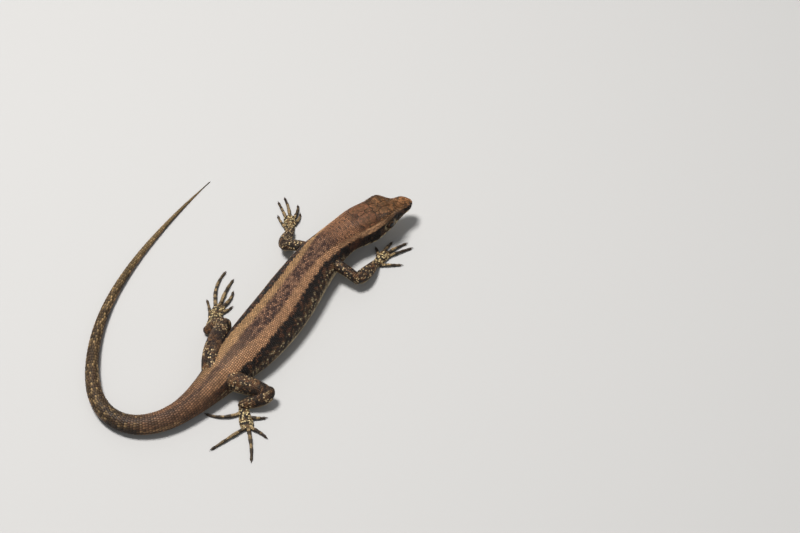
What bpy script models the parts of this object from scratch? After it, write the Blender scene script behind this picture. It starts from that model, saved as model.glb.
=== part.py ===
"""A wall lizard, life size, lying on its belly with its head raised and its tail swung round.

The body is one form, lofted along a curved spine and parted by thin cuts into head, neck,
trunk and tail. The limbs are tapered tubes that end in hands and feet of five digits each.
Sizes in the tables are millimetres; the meshes are metres. +X runs towards the head, +Y to
the animal's left and +Z up, with the origin on the floor under the middle of the belly.
"""

from math import acos, asin, cos, degrees, pi, radians, sin

import bmesh
import bpy
import numpy as np
from mathutils import Matrix, Vector

MM = 0.001
CUT = 0.3                 # width of the thin cuts that part the nodes
FLOOR_PRESS = 0.12        # how far round undersides are flattened where they lie on the floor

# ---------------------------------------------------------------- the spine
# Stations are distances from the tip of the snout, measured along the spine.
BELLY_STATION = 42.0      # lies over the origin
BODY_LENGTH = 156.0       # snout to tail tip
SPINE_HEADINGS = (        # station, direction of the head end in degrees from +X
    (0, -18), (6, -24), (12, -26), (18, -12), (24, 0), (34, 7), (44, 2), (56, -4), (62, -5),
    (68, -11), (74, -31), (79, -57), (84, -90), (89, -117), (96, -138), (106, -151),
    (118, -164), (132, -174), (156, -183),
)
SPINE_STEP = 0.25

# ---------------------------------------------------------------- the body's sections
# station, half width, height of the top, of the widest line and of the underside
BODY_SECTIONS = (
    (0.0, 0.70, 5.05, 4.60, 4.20),
    (0.5, 1.25, 5.60, 4.70, 3.90),
    (1.5, 1.85, 6.00, 4.75, 3.65),
    (3.0, 2.12, 6.35, 4.70, 3.30),
    (4.6, 2.60, 7.05, 4.62, 2.90),
    (6.6, 3.45, 7.92, 4.50, 2.55),
    (9.0, 3.95, 8.02, 4.25, 2.45),
    (11.5, 4.25, 7.98, 4.00, 2.20),
    (13.6, 4.20, 7.80, 3.80, 1.85),
    (16.5, 3.95, 7.35, 3.55, 1.35),
    (20.0, 4.05, 7.00, 3.35, 0.70),
    (24.0, 4.65, 6.95, 3.20, 0.15),
    (29.0, 5.05, 6.85, 3.00, -0.20),
    (36.0, 5.60, 6.95, 2.90, -0.30),
    (43.0, 5.80, 6.90, 2.85, -0.30),
    (50.0, 5.50, 6.70, 2.85, -0.30),
    (56.0, 4.60, 6.30, 2.70, -0.25),
    (61.0, 3.65, 5.60, 2.50, -0.15),
    (66.0, 2.85, 4.85, 2.30, -0.10),
    (70.5, 2.35, 4.41, 2.19, -0.10),
)
# station, squareness of the upper and of the lower half (2 is an ellipse)
BODY_SQUARENESS = (
    (0.0, 2.1, 2.1), (2.5, 2.5, 2.2), (6.0, 2.7, 2.4), (12.0, 2.6, 2.6), (18.0, 2.2, 2.3),
    (30.0, 2.2, 2.5), (60.0, 2.2, 2.5), (70.0, 2.0, 2.0),
)
TAIL_START = 70.5
TAIL_HALF_WIDTH = 2.35
TAIL_DECAY = 1.60         # exponential taper over the tail's length
TAIL_TIP_POWER = 7        # rounds the last few millimetres to a blunt tip
TAIL_TIP_DRAW = 0.9       # share of the tip's width lost to that rounding
TAIL_RISE = (1.92, 0.93)  # height of the tail's top and of its widest line, in half widths
TAIL_UNDERSIDE = -0.1

# brows, cheeks and the hollow in front of the eye: station, length along the head,
# angle up from the side, spread of that angle, height; every one is on both sides
HEAD_SWELLS = (
    (6.9, 2.0, 47, 18, 0.72),
    (11.0, 2.8, -22, 30, 0.38),
    (4.1, 1.2, 20, 16, -0.15),
    (1.6, 1.1, 35, 24, 0.15),
)

# ---------------------------------------------------------------- nodes along the body
NODE_STATIONS = (         # node, first station, last station, rings, vertices in a ring
    ("head", 0.0, 14.0, 24, 30),
    ("neck", 14.0, 23.4, 8, 28),
    ("trunk", 23.4, 64.0, 18, 28),
    ("tail_base", 64.0, 80.0, 8, 20),
    ("tail_bend", 80.0, 100.0, 11, 16),
    ("tail_middle", 100.0, 121.0, 9, 12),
    ("tail_rear", 121.0, 141.0, 7, 10),
    ("tail_tip", 141.0, BODY_LENGTH, 8, 8),
)
SNOUT_CROWDING = 1.45     # above 1, rings stand closer together towards the snout
TIP_CROWDING = 1.3        # and towards the tail's tip

# ---------------------------------------------------------------- eyes and ears
EYE_STATION = 7.2
EYE_ACROSS = 2.60         # centre of the eyeball from the middle of the head
EYE_HEIGHT = 5.2
EYE_RADIUS = 1.32
EYE_GAP = 0.15
EAR_STATION = 13.1
EAR_HEIGHT = 4.6
EAR_RADII = (0.55, 0.60, 0.85)

# ---------------------------------------------------------------- limbs
# each point: x, y, z and radius
ARM_POINTS = {
    "left": {
        "upper_arm": ((18.6, 1.6, 3.8, 1.40), (18.3, 6.2, 3.8, 1.20), (17.4, 9.4, 3.0, 1.10)),
        "forearm": ((17.4, 9.7, 2.8, 1.15), (18.9, 10.7, 2.2, 1.35), (22.2, 11.9, 1.05, 0.85)),
    },
    "right": {
        "upper_arm": ((18.0, -1.2, 3.8, 1.40), (17.9, -4.8, 3.6, 1.20), (17.9, -7.4, 2.8, 1.15)),
        "forearm": ((18.0, -7.8, 2.6, 1.20), (20.4, -8.0, 2.1, 1.40), (24.2, -7.6, 1.05, 0.85)),
    },
}
LEG_POINTS = {
    "left": {
        "thigh": ((-18.2, 1.8, 3.3, 2.20), (-13.4, 4.9, 3.9, 2.15), (-7.4, 6.7, 3.9, 1.45)),
        "shank": ((-7.1, 7.1, 3.7, 1.40), (-7.5, 8.9, 2.4, 1.50), (-8.5, 10.3, 1.15, 0.95)),
    },
    "right": {
        "thigh": ((-17.8, -0.6, 3.2, 2.10), (-17.0, -5.4, 3.2, 1.90), (-16.0, -9.6, 2.8, 1.35)),
        "shank": ((-16.0, -9.9, 2.8, 1.35), (-17.6, -8.9, 2.0, 1.50), (-19.9, -6.3, 1.10, 0.95)),
    },
}
# the flat of each hand and foot: from its heel to where the long digits part, and half width
PALMS = {
    "hand_left": ((22.3, 12.0), (26.2, 14.9), 1.25),
    "hand_right": ((24.4, -7.6), (28.6, -7.6), 1.25),
    "foot_left": ((-8.1, 10.6), (-1.6, 12.5), 1.35),
    "foot_right": ((-20.1, -6.5), (-23.8, -10.2), 1.40),
}
PALM_THICKNESS = 1.25
PALM_OVERRUN = 1.2        # the cage's length beyond the palm's, drawn in by its rounding
PALM_SPREAD = (0.78, 0.44)  # width at the heel, and what is added by the roots of the digits
# each digit: where it starts, bends and ends, from the innermost to the outermost
DIGITS = {
    "hand_left": (
        ((25.1, 12.8), (26.7, 12.9), (28.1, 13.5)),
        ((26.0, 13.8), (28.1, 14.3), (29.8, 15.2)),
        ((26.3, 14.9), (28.4, 16.7), (30.1, 18.7)),
        ((25.4, 15.0), (26.9, 17.0), (28.4, 19.1)),
        ((23.2, 13.6), (24.0, 15.3), (25.1, 16.9)),
    ),
    "hand_right": (
        ((27.2, -6.6), (28.1, -5.9), (28.8, -5.1)),
        ((28.4, -7.1), (30.1, -6.9), (31.7, -6.9)),
        ((28.8, -7.8), (31.0, -8.5), (33.1, -9.4)),
        ((28.2, -8.5), (30.4, -9.7), (32.6, -11.0)),
        ((25.4, -8.6), (26.5, -10.2), (27.6, -11.7)),
    ),
    "foot_left": (
        ((-3.2, 11.5), (-2.0, 10.8), (-0.6, 10.5)),
        ((-1.6, 12.0), (0.8, 11.9), (2.8, 12.5)),
        ((-1.5, 12.6), (2.4, 13.9), (5.4, 14.5)),
        ((-2.0, 13.2), (1.9, 16.0), (6.3, 17.1)),
        ((-6.2, 11.7), (-4.0, 13.3), (-1.8, 15.5)),
    ),
    "foot_right": (
        ((-21.6, -8.9), (-20.8, -10.3), (-19.9, -11.4)),
        ((-23.5, -10.4), (-23.3, -12.4), (-23.5, -14.2)),
        ((-24.0, -10.6), (-26.7, -13.1), (-29.4, -15.1)),
        ((-24.1, -9.8), (-27.7, -8.6), (-31.3, -7.4)),
        ((-21.6, -6.9), (-24.0, -4.8), (-25.2, -1.7)),
    ),
}
DIGIT_BASE_RADIUS = {"hand": 0.42, "foot": 0.46}
DIGIT_TIP_RADIUS = 0.27
DIGIT_HEIGHT = 0.25       # centre of a digit's tip above the floor
DIGIT_KNUCKLE_RISE = 0.20
DIGIT_RINGS = 6
CLAW_LENGTH = 0.60
CLAW_RADIUS = 0.19

CLAW_START = 0.12         # from the end of the digit
CLAW_DIP = 0.08

LIMB_SIDES = 12
LIMB_RINGS = 7
LIMB_END_LENGTH = 0.45    # of the rounded end, in ring spacings
LIMB_END_TAPER = 0.62     # its radius, as a share of the tube's
DIGIT_SIDES = 6

# ---------------------------------------------------------------- colours: base, roughness
COLOURS = {
    "head": ((0.16, 0.085, 0.040), 0.50),
    "neck": ((0.24, 0.135, 0.070), 0.55),
    "trunk": ((0.26, 0.150, 0.080), 0.55),
    "tail": ((0.21, 0.125, 0.062), 0.50),
    "limb": ((0.075, 0.046, 0.026), 0.60),
    "foot": ((0.120, 0.085, 0.045), 0.60),
    "eye": ((0.012, 0.008, 0.006), 0.10),
}


def remove_everything():
    """Empty the scene."""
    for old in list(bpy.data.objects):
        bpy.data.objects.remove(old)


def new_collection(name):
    """Add a collection to the scene."""
    collection = bpy.data.collections.new(name)
    bpy.context.scene.collection.children.link(collection)
    return collection


def smooth_table(table, station):
    """Read a table at one station, as a smooth curve through its rows that keeps their slopes."""
    rows = np.array(table, dtype=float)
    at = rows[:, 0]
    station = min(max(station, at[0]), at[-1])
    i = min(int(np.searchsorted(at, station, side="right")) - 1, len(at) - 2)
    step = np.diff(at)[:, None]
    rise = np.diff(rows[:, 1:], axis=0) / step
    slopes = np.zeros_like(rows[:, 1:])
    slopes[0] = rise[0]
    slopes[-1] = rise[-1]
    same_way = rise[:-1] * rise[1:] > 0
    total = rise[:-1] + rise[1:]
    safe = np.where(same_way, total, 1.0)
    slopes[1:-1] = np.where(same_way, 2 * rise[:-1] * rise[1:] / safe, 0.0)
    h = at[i + 1] - at[i]
    t = (station - at[i]) / h
    low, high = rows[i, 1:], rows[i + 1, 1:]
    return (
        low * (1 + 2 * t) * (1 - t) ** 2
        + high * t * t * (3 - 2 * t)
        + h * slopes[i] * t * (1 - t) ** 2
        - h * slopes[i + 1] * t * t * (1 - t)
    )


class Spine:
    """The curve the body is lofted along, found by walking its headings."""

    def __init__(self):
        count = int(BODY_LENGTH / SPINE_STEP) + 1
        self.stations = np.linspace(0.0, BODY_LENGTH, count)
        headings = [radians(float(smooth_table(SPINE_HEADINGS, s)[0])) for s in self.stations]
        self.headings = np.array(headings)
        middle = (self.headings[1:] + self.headings[:-1]) / 2
        self.x = np.concatenate([[0.0], np.cumsum(-np.cos(middle) * SPINE_STEP)])
        self.y = np.concatenate([[0.0], np.cumsum(-np.sin(middle) * SPINE_STEP)])
        self.x -= np.interp(BELLY_STATION, self.stations, self.x)
        self.y -= np.interp(BELLY_STATION, self.stations, self.y)

    def place(self, station, across, height):
        """A point beside the spine, in millimetres: across is positive to the animal's left."""
        heading = np.interp(station, self.stations, self.headings)
        x = np.interp(station, self.stations, self.x) - sin(heading) * across
        y = np.interp(station, self.stations, self.y) + cos(heading) * across
        return Vector((x, y, height))


def body_section(station):
    """Half width, top, side and underside heights, and the two squarenesses, at a station."""
    upper, lower = smooth_table(BODY_SQUARENESS, station)
    if station <= TAIL_START:
        half, top, side, under = smooth_table(BODY_SECTIONS, station)
        return half, top, side, under, upper, lower
    share = (station - TAIL_START) / (BODY_LENGTH - TAIL_START)
    drawn = 1 - TAIL_TIP_DRAW * share ** TAIL_TIP_POWER
    half = TAIL_HALF_WIDTH * np.exp(-TAIL_DECAY * share) * drawn
    top, side = (rise * half for rise in TAIL_RISE)
    return half, top + TAIL_UNDERSIDE, side, TAIL_UNDERSIDE, upper, lower


def power_of(value, power):
    """A signed power, which squares off a circle's sine or cosine."""
    return np.sign(value) * abs(value) ** power


def head_swell(station, angle):
    """How far the head's surface stands proud of its plain section, at an angle from the side."""
    from_side = degrees(asin(sin(angle)))
    total = 0.0
    for centre, length, lift, spread, height in HEAD_SWELLS:
        along = (station - centre) / length
        round_it = (from_side - lift) / spread
        total += height * np.exp(-along ** 2 - round_it ** 2)
    return total


def body_ring(spine, station, count):
    """The points round the body at one station, from its left side over the back."""
    half, top, side, under, upper, lower = body_section(station)
    ring = []
    for k in range(count):
        angle = 2 * pi * k / count
        turned = angle if angle <= pi else angle - 2 * pi
        square = upper if turned >= 0 else lower
        reach = top - side if turned >= 0 else side - under
        swell = head_swell(station, turned) if station < NODE_STATIONS[1][2] else 0.0
        across = half * power_of(cos(turned), 2 / square) + swell * cos(turned)
        height = side + reach * power_of(sin(turned), 2 / square) + swell * sin(turned)
        ring.append(spine.place(station, across, max(height, 0.0)))
    return ring


def mesh_object(name, bm, collection):
    """Turn a bmesh into an object in a collection."""
    mesh = bpy.data.meshes.new(name)
    bm.to_mesh(mesh)
    bm.free()
    item = bpy.data.objects.new(name, mesh)
    collection.objects.link(item)
    return item


def loft(name, rings, collection):
    """Skin a row of rings that have the same number of points, and close both ends."""
    bm = bmesh.new()
    verts = [[bm.verts.new(p * MM) for p in ring] for ring in rings]
    count = len(rings[0])
    for near, far in zip(verts, verts[1:]):
        for k in range(count):
            n = (k + 1) % count
            bm.faces.new((near[k], far[k], far[n], near[n]))
    for ring, end in ((verts[0], rings[0]), (verts[-1][::-1], rings[-1])):
        hub = bm.verts.new(sum(end, Vector()) / count * MM)
        for k in range(count):
            bm.faces.new((ring[k], ring[(k + 1) % count], hub))
    return mesh_object(name, bm, collection)


def body_stations(first, last, rings):
    """Evenly spaced stations, closer together towards the snout's and the tail's blunt ends."""
    share = np.linspace(0.0, 1.0, rings)
    if first == 0.0:
        share = share ** SNOUT_CROWDING
    if last == BODY_LENGTH:
        share = 1 - (1 - share) ** TIP_CROWDING
    return first + (last - first) * share


def body_nodes(spine, collection):
    """The head, the neck, the trunk and the lengths of tail, with thin cuts between them."""
    nodes = {}
    for name, first, last, rings, count in NODE_STATIONS:
        start = first if first == 0.0 else first + CUT / 2
        stop = last if last == BODY_LENGTH else last - CUT / 2
        stations = body_stations(start, stop, rings)
        nodes[name] = loft(name, [body_ring(spine, s, count) for s in stations], collection)
    return nodes


def bezier_tube(name, points, radii, sides, collection):
    """A tapered tube with filled caps along a curve through a few points, as a welded mesh."""
    curve = bpy.data.curves.new(name, "CURVE")
    curve.dimensions = "3D"
    curve.bevel_depth = MM
    curve.bevel_resolution = (sides - 4) // 2
    curve.use_fill_caps = True
    spline = curve.splines.new("POLY")
    spline.points.add(len(points) - 1)
    for point, place, radius in zip(spline.points, points, radii):
        point.co = (*(Vector(place) * MM), 1.0)
        point.radius = radius
    source = bpy.data.objects.new(name + "_curve", curve)
    collection.objects.link(source)
    bpy.context.view_layer.update()
    graph = bpy.context.evaluated_depsgraph_get()
    mesh = bpy.data.meshes.new_from_object(source.evaluated_get(graph))
    bm = bmesh.new()
    bm.from_mesh(mesh)
    bmesh.ops.remove_doubles(bm, verts=bm.verts, dist=1e-7)
    bpy.data.objects.remove(source)
    bpy.data.meshes.remove(mesh)
    return mesh_object(name, bm, collection)


def through(points, count):
    """Points evenly along a smooth curve through three points, end to end."""
    first, middle, last = (np.array(p, dtype=float) for p in points)
    control = 2 * middle - (first + last) / 2
    share = np.linspace(0.0, 1.0, count)[:, None]
    return first * (1 - share) ** 2 + 2 * control * share * (1 - share) + last * share ** 2


def limb_tube(name, points, collection):
    """One length of a limb: a tube through three points whose radius follows the same curve."""
    row = through(points, LIMB_RINGS)
    places = list(row[:, :3])
    radii = list(row[:, 3])
    start = places[0] + (places[0] - places[1]) * LIMB_END_LENGTH
    end = places[-1] + (places[-1] - places[-2]) * LIMB_END_LENGTH
    tapered = [radii[0] * LIMB_END_TAPER, *radii, radii[-1] * LIMB_END_TAPER]
    return bezier_tube(name, [start, *places, end], tapered, LIMB_SIDES, collection)


def digit_tube(name, points, base_radius, collection):
    """A finger or toe that lies on the floor, with a raised knuckle and a claw at its end."""
    row = through(points, DIGIT_RINGS)
    share = np.linspace(0.0, 1.0, DIGIT_RINGS)
    radii = base_radius + (DIGIT_TIP_RADIUS - base_radius) * share ** 0.7
    height = DIGIT_HEIGHT + DIGIT_KNUCKLE_RISE * np.sin(pi * share) ** 2 * (1 - share)
    height = height + (base_radius - DIGIT_TIP_RADIUS) * (1 - share)
    places = [Vector((x, y, z)) for (x, y), z in zip(row, height)]
    away = (places[-1] - places[-2]).normalized()
    claw_root = places[-1] + away * CLAW_START
    claw_tip = claw_root + away * CLAW_LENGTH + Vector((0.0, 0.0, -CLAW_DIP))
    return bezier_tube(
        name,
        places + [claw_root, claw_tip],
        list(radii) + [CLAW_RADIUS, CLAW_RADIUS * 0.4],
        DIGIT_SIDES,
        collection,
    )


def palm(name, start, end, half_width, collection):
    """The flat of a hand or foot: a rounded cage, longer than wide, subdivided once."""
    start, end = Vector((*start, 0.0)), Vector((*end, 0.0))
    along = end - start
    bm = bmesh.new()
    bmesh.ops.create_cube(bm, size=1.0)
    bmesh.ops.subdivide_edges(bm, edges=bm.edges, cuts=1, use_grid_fill=True)
    turn = Matrix.Rotation(np.arctan2(along.y, along.x), 4, "Z")
    centre = (start + end) / 2 + Vector((0.0, 0.0, PALM_THICKNESS / 2 - FLOOR_PRESS))
    for vert in bm.verts:
        x, y, z = vert.co
        spread = PALM_SPREAD[0] + PALM_SPREAD[1] * (x + 0.5)
        length = along.length + PALM_OVERRUN
        shaped = Vector((x * length, y * 2 * half_width * spread, z * PALM_THICKNESS))
        vert.co = (turn @ shaped + centre) * MM
    item = mesh_object(name, bm, collection)
    rounding = item.modifiers.new("round", "SUBSURF")
    rounding.levels = 1
    rounding.render_levels = 1
    bake(item)
    return item


def bake(item):
    """Apply an object's modifiers to its mesh."""
    graph = bpy.context.evaluated_depsgraph_get()
    mesh = bpy.data.meshes.new_from_object(item.evaluated_get(graph))
    item.modifiers.clear()
    old = item.data
    item.data = mesh
    bpy.data.meshes.remove(old)


def boolean(item, tool, operation):
    """Join another closed mesh to an object, or cut it away, with the exact solver."""
    modifier = item.modifiers.new(operation.lower(), "BOOLEAN")
    modifier.operation = operation
    modifier.solver = "EXACT"
    modifier.object = tool
    bake(item)


def grown(item, amount, collection):
    """A copy of a closed mesh, pushed out along its normals, to cut a gap round it."""
    bm = bmesh.new()
    bm.from_mesh(item.data)
    bm.normal_update()
    moves = [(v, v.normal * amount * MM) for v in bm.verts]
    for vert, move in moves:
        vert.co += move
    return as_cutter(mesh_object(item.name + "_clearance", bm, collection))


def as_cutter(item):
    """Hide an object that only shapes others."""
    item.hide_render = True
    item.display_type = "WIRE"
    return item


def floor_block(collection):
    """A block under the floor, which flattens whatever lies on it."""
    bm = bmesh.new()
    bmesh.ops.create_cube(bm, size=0.3)
    bmesh.ops.translate(bm, verts=bm.verts, vec=(0.0, 0.0, -0.15))
    return as_cutter(mesh_object("floor_block", bm, collection))


def ellipsoid(name, place, radii, turn, collection, segments=16, rings=10):
    """A ball stretched along its own axes and turned about +Z, in millimetres."""
    bm = bmesh.new()
    bmesh.ops.create_uvsphere(bm, u_segments=segments, v_segments=rings, radius=MM)
    matrix = Matrix.Translation(place * MM) @ Matrix.Rotation(turn, 4, "Z") @ Matrix.Diagonal((*radii, 1.0))
    bmesh.ops.transform(bm, matrix=matrix, verts=bm.verts)
    return mesh_object(name, bm, collection)


def dress(item, finish):
    """Give an object its colour and shade it smooth across its shallow edges."""
    colour, roughness = COLOURS[finish]
    material = bpy.data.materials.new(item.name)
    material.use_nodes = True
    shader = material.node_tree.nodes["Principled BSDF"]
    shader.inputs["Base Color"].default_value = (*colour, 1.0)
    shader.inputs["Roughness"].default_value = roughness
    shader.inputs["Metallic"].default_value = 0.0
    material.diffuse_color = (*colour, 1.0)
    item.data.materials.clear()
    item.data.materials.append(material)
    item.data.shade_smooth()
    item.data.set_sharp_from_angle(angle=acos(0.6))


def main():
    """Build every node of the lizard."""
    remove_everything()
    lizard = new_collection("wall_lizard")
    cutters = new_collection("cutters")
    spine = Spine()
    floor = floor_block(cutters)

    body = body_nodes(spine, lizard)
    for name, item in body.items():
        dress(item, "tail" if name.startswith("tail") else name)

    for side, sign in (("left", 1), ("right", -1)):
        centre = spine.place(EYE_STATION, sign * EYE_ACROSS, EYE_HEIGHT)
        size = (EYE_RADIUS,) * 3
        eye = ellipsoid("eye_" + side, centre, size, 0.0, lizard, 14, 9)
        dress(eye, "eye")
        socket = ellipsoid("socket_" + side, centre, (EYE_RADIUS + EYE_GAP,) * 3, 0.0, cutters, 14, 9)
        boolean(body["head"], as_cutter(socket), "DIFFERENCE")
        half = body_section(EAR_STATION)[0]
        heading = radians(float(smooth_table(SPINE_HEADINGS, EAR_STATION)[0]))
        place = spine.place(EAR_STATION, sign * (half + 0.15), EAR_HEIGHT)
        ear = ellipsoid("ear_" + side, place, EAR_RADII, heading, cutters, 12, 8)
        boolean(body["head"], as_cutter(ear), "DIFFERENCE")
    dress(body["head"], "head")

    flank = grown(body["trunk"], CUT, cutters)
    throat = grown(body["neck"], CUT, cutters)
    for limbs, end in ((ARM_POINTS, "hand"), (LEG_POINTS, "foot")):
        for side, lengths in limbs.items():
            upper_name, lower_name = lengths
            upper = limb_tube(f"{upper_name}_{side}", lengths[upper_name], lizard)
            lower = limb_tube(f"{lower_name}_{side}", lengths[lower_name], lizard)
            tip_name = f"{end}_{side}"
            tip = palm(tip_name, *PALMS[tip_name], lizard)
            for number, points in enumerate(DIGITS[tip_name], start=1):
                digit = digit_tube(f"{tip_name}_digit_{number}", points, DIGIT_BASE_RADIUS[end], cutters)
                boolean(tip, digit, "UNION")
                bpy.data.objects.remove(digit)
            boolean(tip, floor, "DIFFERENCE")
            boolean(upper, flank, "DIFFERENCE")
            if end == "hand":
                boolean(upper, throat, "DIFFERENCE")
            boolean(lower, flank, "DIFFERENCE")
            boolean(lower, grown(upper, CUT, cutters), "DIFFERENCE")
            boolean(lower, floor, "DIFFERENCE")
            boolean(tip, grown(lower, CUT, cutters), "DIFFERENCE")
            dress(upper, "limb")
            dress(lower, "limb")
            dress(tip, "foot")


main()
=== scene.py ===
"""Looks of a life-size wall lizard: one skin, and the scales, shields, lids, eyes and claws on it.

Every surface of flesh is a grid of points that is read at (u, v): u is in millimetres along it,
and v is in turns round it, 0 at the top and +0.25 on the animal's left where u runs tailwards.
Tables are in millimetres; meshes are in metres, in the frame of the solids they replace.
"""

import logging
import math
from contextlib import contextmanager
from dataclasses import dataclass, field
from enum import Enum
from itertools import product
from typing import Callable, Iterator, Sequence

import bpy
import numpy as np
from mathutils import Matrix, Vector
from mathutils.kdtree import KDTree


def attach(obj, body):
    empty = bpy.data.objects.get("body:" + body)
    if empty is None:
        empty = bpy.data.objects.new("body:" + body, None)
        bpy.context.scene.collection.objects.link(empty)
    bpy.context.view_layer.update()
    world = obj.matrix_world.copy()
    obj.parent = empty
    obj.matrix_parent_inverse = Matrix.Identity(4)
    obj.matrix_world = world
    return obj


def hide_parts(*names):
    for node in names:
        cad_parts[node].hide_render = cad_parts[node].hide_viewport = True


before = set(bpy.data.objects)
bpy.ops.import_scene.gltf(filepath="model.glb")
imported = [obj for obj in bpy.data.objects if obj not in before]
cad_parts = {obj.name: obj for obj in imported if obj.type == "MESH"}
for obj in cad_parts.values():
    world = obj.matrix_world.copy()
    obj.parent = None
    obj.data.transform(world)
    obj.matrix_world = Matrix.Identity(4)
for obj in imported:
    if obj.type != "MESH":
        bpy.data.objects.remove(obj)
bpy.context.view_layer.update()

LOG = logging.getLogger("wall_lizard")
Array = np.ndarray
Table = Sequence[Sequence[float]]

MM = 0.001
ROOT = "root"
PATCH = 0.003             # width of one scale's patch on the baking map
BAKE_MAP = "OFBake"
SEED = 7
FLOOR_GAP = 0.004         # nothing comes nearer to the floor than this

# ---------------- the body's own measures
BODY_LENGTH = 156.0
BELLY_STATION = 42.0
SPINE_STEP = 0.25
SPINE_HEADINGS = (        # station, direction of the head end in degrees from +X
    (0, -18), (6, -24), (12, -26), (18, -12), (24, 0), (34, 7), (44, 2), (56, -4), (62, -5),
    (68, -11), (74, -31), (79, -57), (84, -90), (89, -117), (96, -138), (106, -151),
    (118, -164), (132, -174), (156, -183),
)
BODY_SECTIONS = (         # station, half width, height of the top, widest line and underside
    (0.0, 0.70, 5.05, 4.60, 4.20), (0.5, 1.25, 5.60, 4.70, 3.90), (1.5, 1.85, 6.00, 4.75, 3.65),
    (3.0, 2.12, 6.35, 4.70, 3.30), (4.6, 2.60, 7.05, 4.62, 2.90), (6.6, 3.45, 7.92, 4.50, 2.55),
    (9.0, 3.95, 8.02, 4.25, 2.45), (11.5, 4.25, 7.98, 4.00, 2.20), (13.6, 4.20, 7.80, 3.80, 1.85),
    (16.5, 3.95, 7.35, 3.55, 1.35), (20.0, 4.05, 7.00, 3.35, 0.70), (24.0, 4.65, 6.95, 3.20, 0.15),
    (29.0, 5.05, 6.85, 3.00, -0.20), (36.0, 5.60, 6.95, 2.90, -0.30), (43.0, 5.80, 6.90, 2.85, -0.30),
    (50.0, 5.50, 6.70, 2.85, -0.30), (56.0, 4.60, 6.30, 2.70, -0.25), (61.0, 3.65, 5.60, 2.50, -0.15),
    (66.0, 2.85, 4.85, 2.30, -0.10), (70.5, 2.35, 4.41, 2.19, -0.10),
)
BODY_SQUARENESS = (       # station, squareness of the upper and of the lower half
    (0.0, 2.1, 2.1), (2.5, 2.5, 2.2), (6.0, 2.7, 2.4), (12.0, 2.6, 2.6), (18.0, 2.2, 2.3),
    (30.0, 2.2, 2.5), (60.0, 2.2, 2.5), (70.0, 2.0, 2.0),
)
TAIL_START = 70.5
TAIL_HALF_WIDTH = 2.35
TAIL_DECAY = 1.60
TAIL_TIP_POWER = 7
TAIL_TIP_DRAW = 0.9
TAIL_RISE = (1.92, 0.93)
TAIL_UNDERSIDE = -0.1
HEAD_SWELLS = (           # station, length, angle up from the side, its spread, height
    (6.9, 2.0, 47, 18, 0.72), (11.0, 2.8, -22, 30, 0.38), (4.1, 1.2, 20, 16, -0.15),
    (1.6, 1.1, 35, 24, 0.15),
)
SNOUT_CAP = 0.25          # how far the rounded tip stands in front of the first section

EYE_STATION, EYE_ACROSS, EYE_HEIGHT = 7.25, 2.60, 5.1
EYE_RADIUS = 1.32
LID_REACH = (1.78, 1.24)  # half length and half height of the lids
EYE_SOCKET = 0.6          # how far the skin sinks behind the lids
EAR_STATION, EAR_HEIGHT = 13.1, 4.6
EAR_RADII = (0.55, 0.80)
EAR_HOLLOW = 0.55         # how far the skin sinks behind the ear
HOLLOW_REACH = (1.25, 1.2)      # shares of the ear's radii that the hollow and the rim reach
RIM_REACH = (1.35, 1.3)

# ---------------- limbs, as in the solids
LIMB_POINTS = {           # x, y, z and radius
    "upper_arm_left": ((18.6, 1.6, 3.8, 1.40), (18.3, 6.2, 3.8, 1.20), (17.4, 9.5, 2.9, 1.15)),
    "forearm_left": ((17.4, 9.6, 2.85, 1.15), (18.9, 10.7, 2.2, 1.35), (22.4, 12.0, 1.0, 0.85)),
    "upper_arm_right": ((18.0, -1.2, 3.8, 1.40), (17.9, -4.8, 3.6, 1.20), (17.9, -7.6, 2.7, 1.2)),
    "forearm_right": ((18.0, -7.7, 2.65, 1.2), (20.4, -8.0, 2.1, 1.40), (24.4, -7.6, 1.0, 0.85)),
    "thigh_left": ((-18.2, 1.8, 3.3, 2.20), (-13.4, 4.9, 3.9, 2.15), (-7.3, 6.9, 3.8, 1.45)),
    "shank_left": ((-7.2, 7.0, 3.75, 1.43), (-7.5, 8.9, 2.4, 1.50), (-8.4, 10.5, 1.1, 0.95)),
    "thigh_right": ((-17.8, -0.6, 3.2, 2.10), (-17.0, -5.4, 3.2, 1.90), (-16.0, -9.7, 2.8, 1.36)),
    "shank_right": ((-16.0, -9.8, 2.8, 1.36), (-17.6, -8.9, 2.0, 1.50), (-20.0, -6.4, 1.05, 0.95)),
}
PALMS = {                 # heel, roots of the long digits, half width
    "hand_left": ((22.3, 12.0), (26.2, 14.9), 1.25),
    "hand_right": ((24.4, -7.6), (28.6, -7.6), 1.25),
    "foot_left": ((-8.1, 10.6), (-1.6, 12.5), 1.35),
    "foot_right": ((-20.1, -6.5), (-23.8, -10.2), 1.40),
}
PALM_HALF_HEIGHT = 0.56
PALM_WIDTHS = ((0, 0.66), (0.35, 0.80), (0.75, 1.0), (1, 0.86))
PALM_HEIGHTS = ((0, 1.15), (0.4, 1.0), (1, 0.82))
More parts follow.
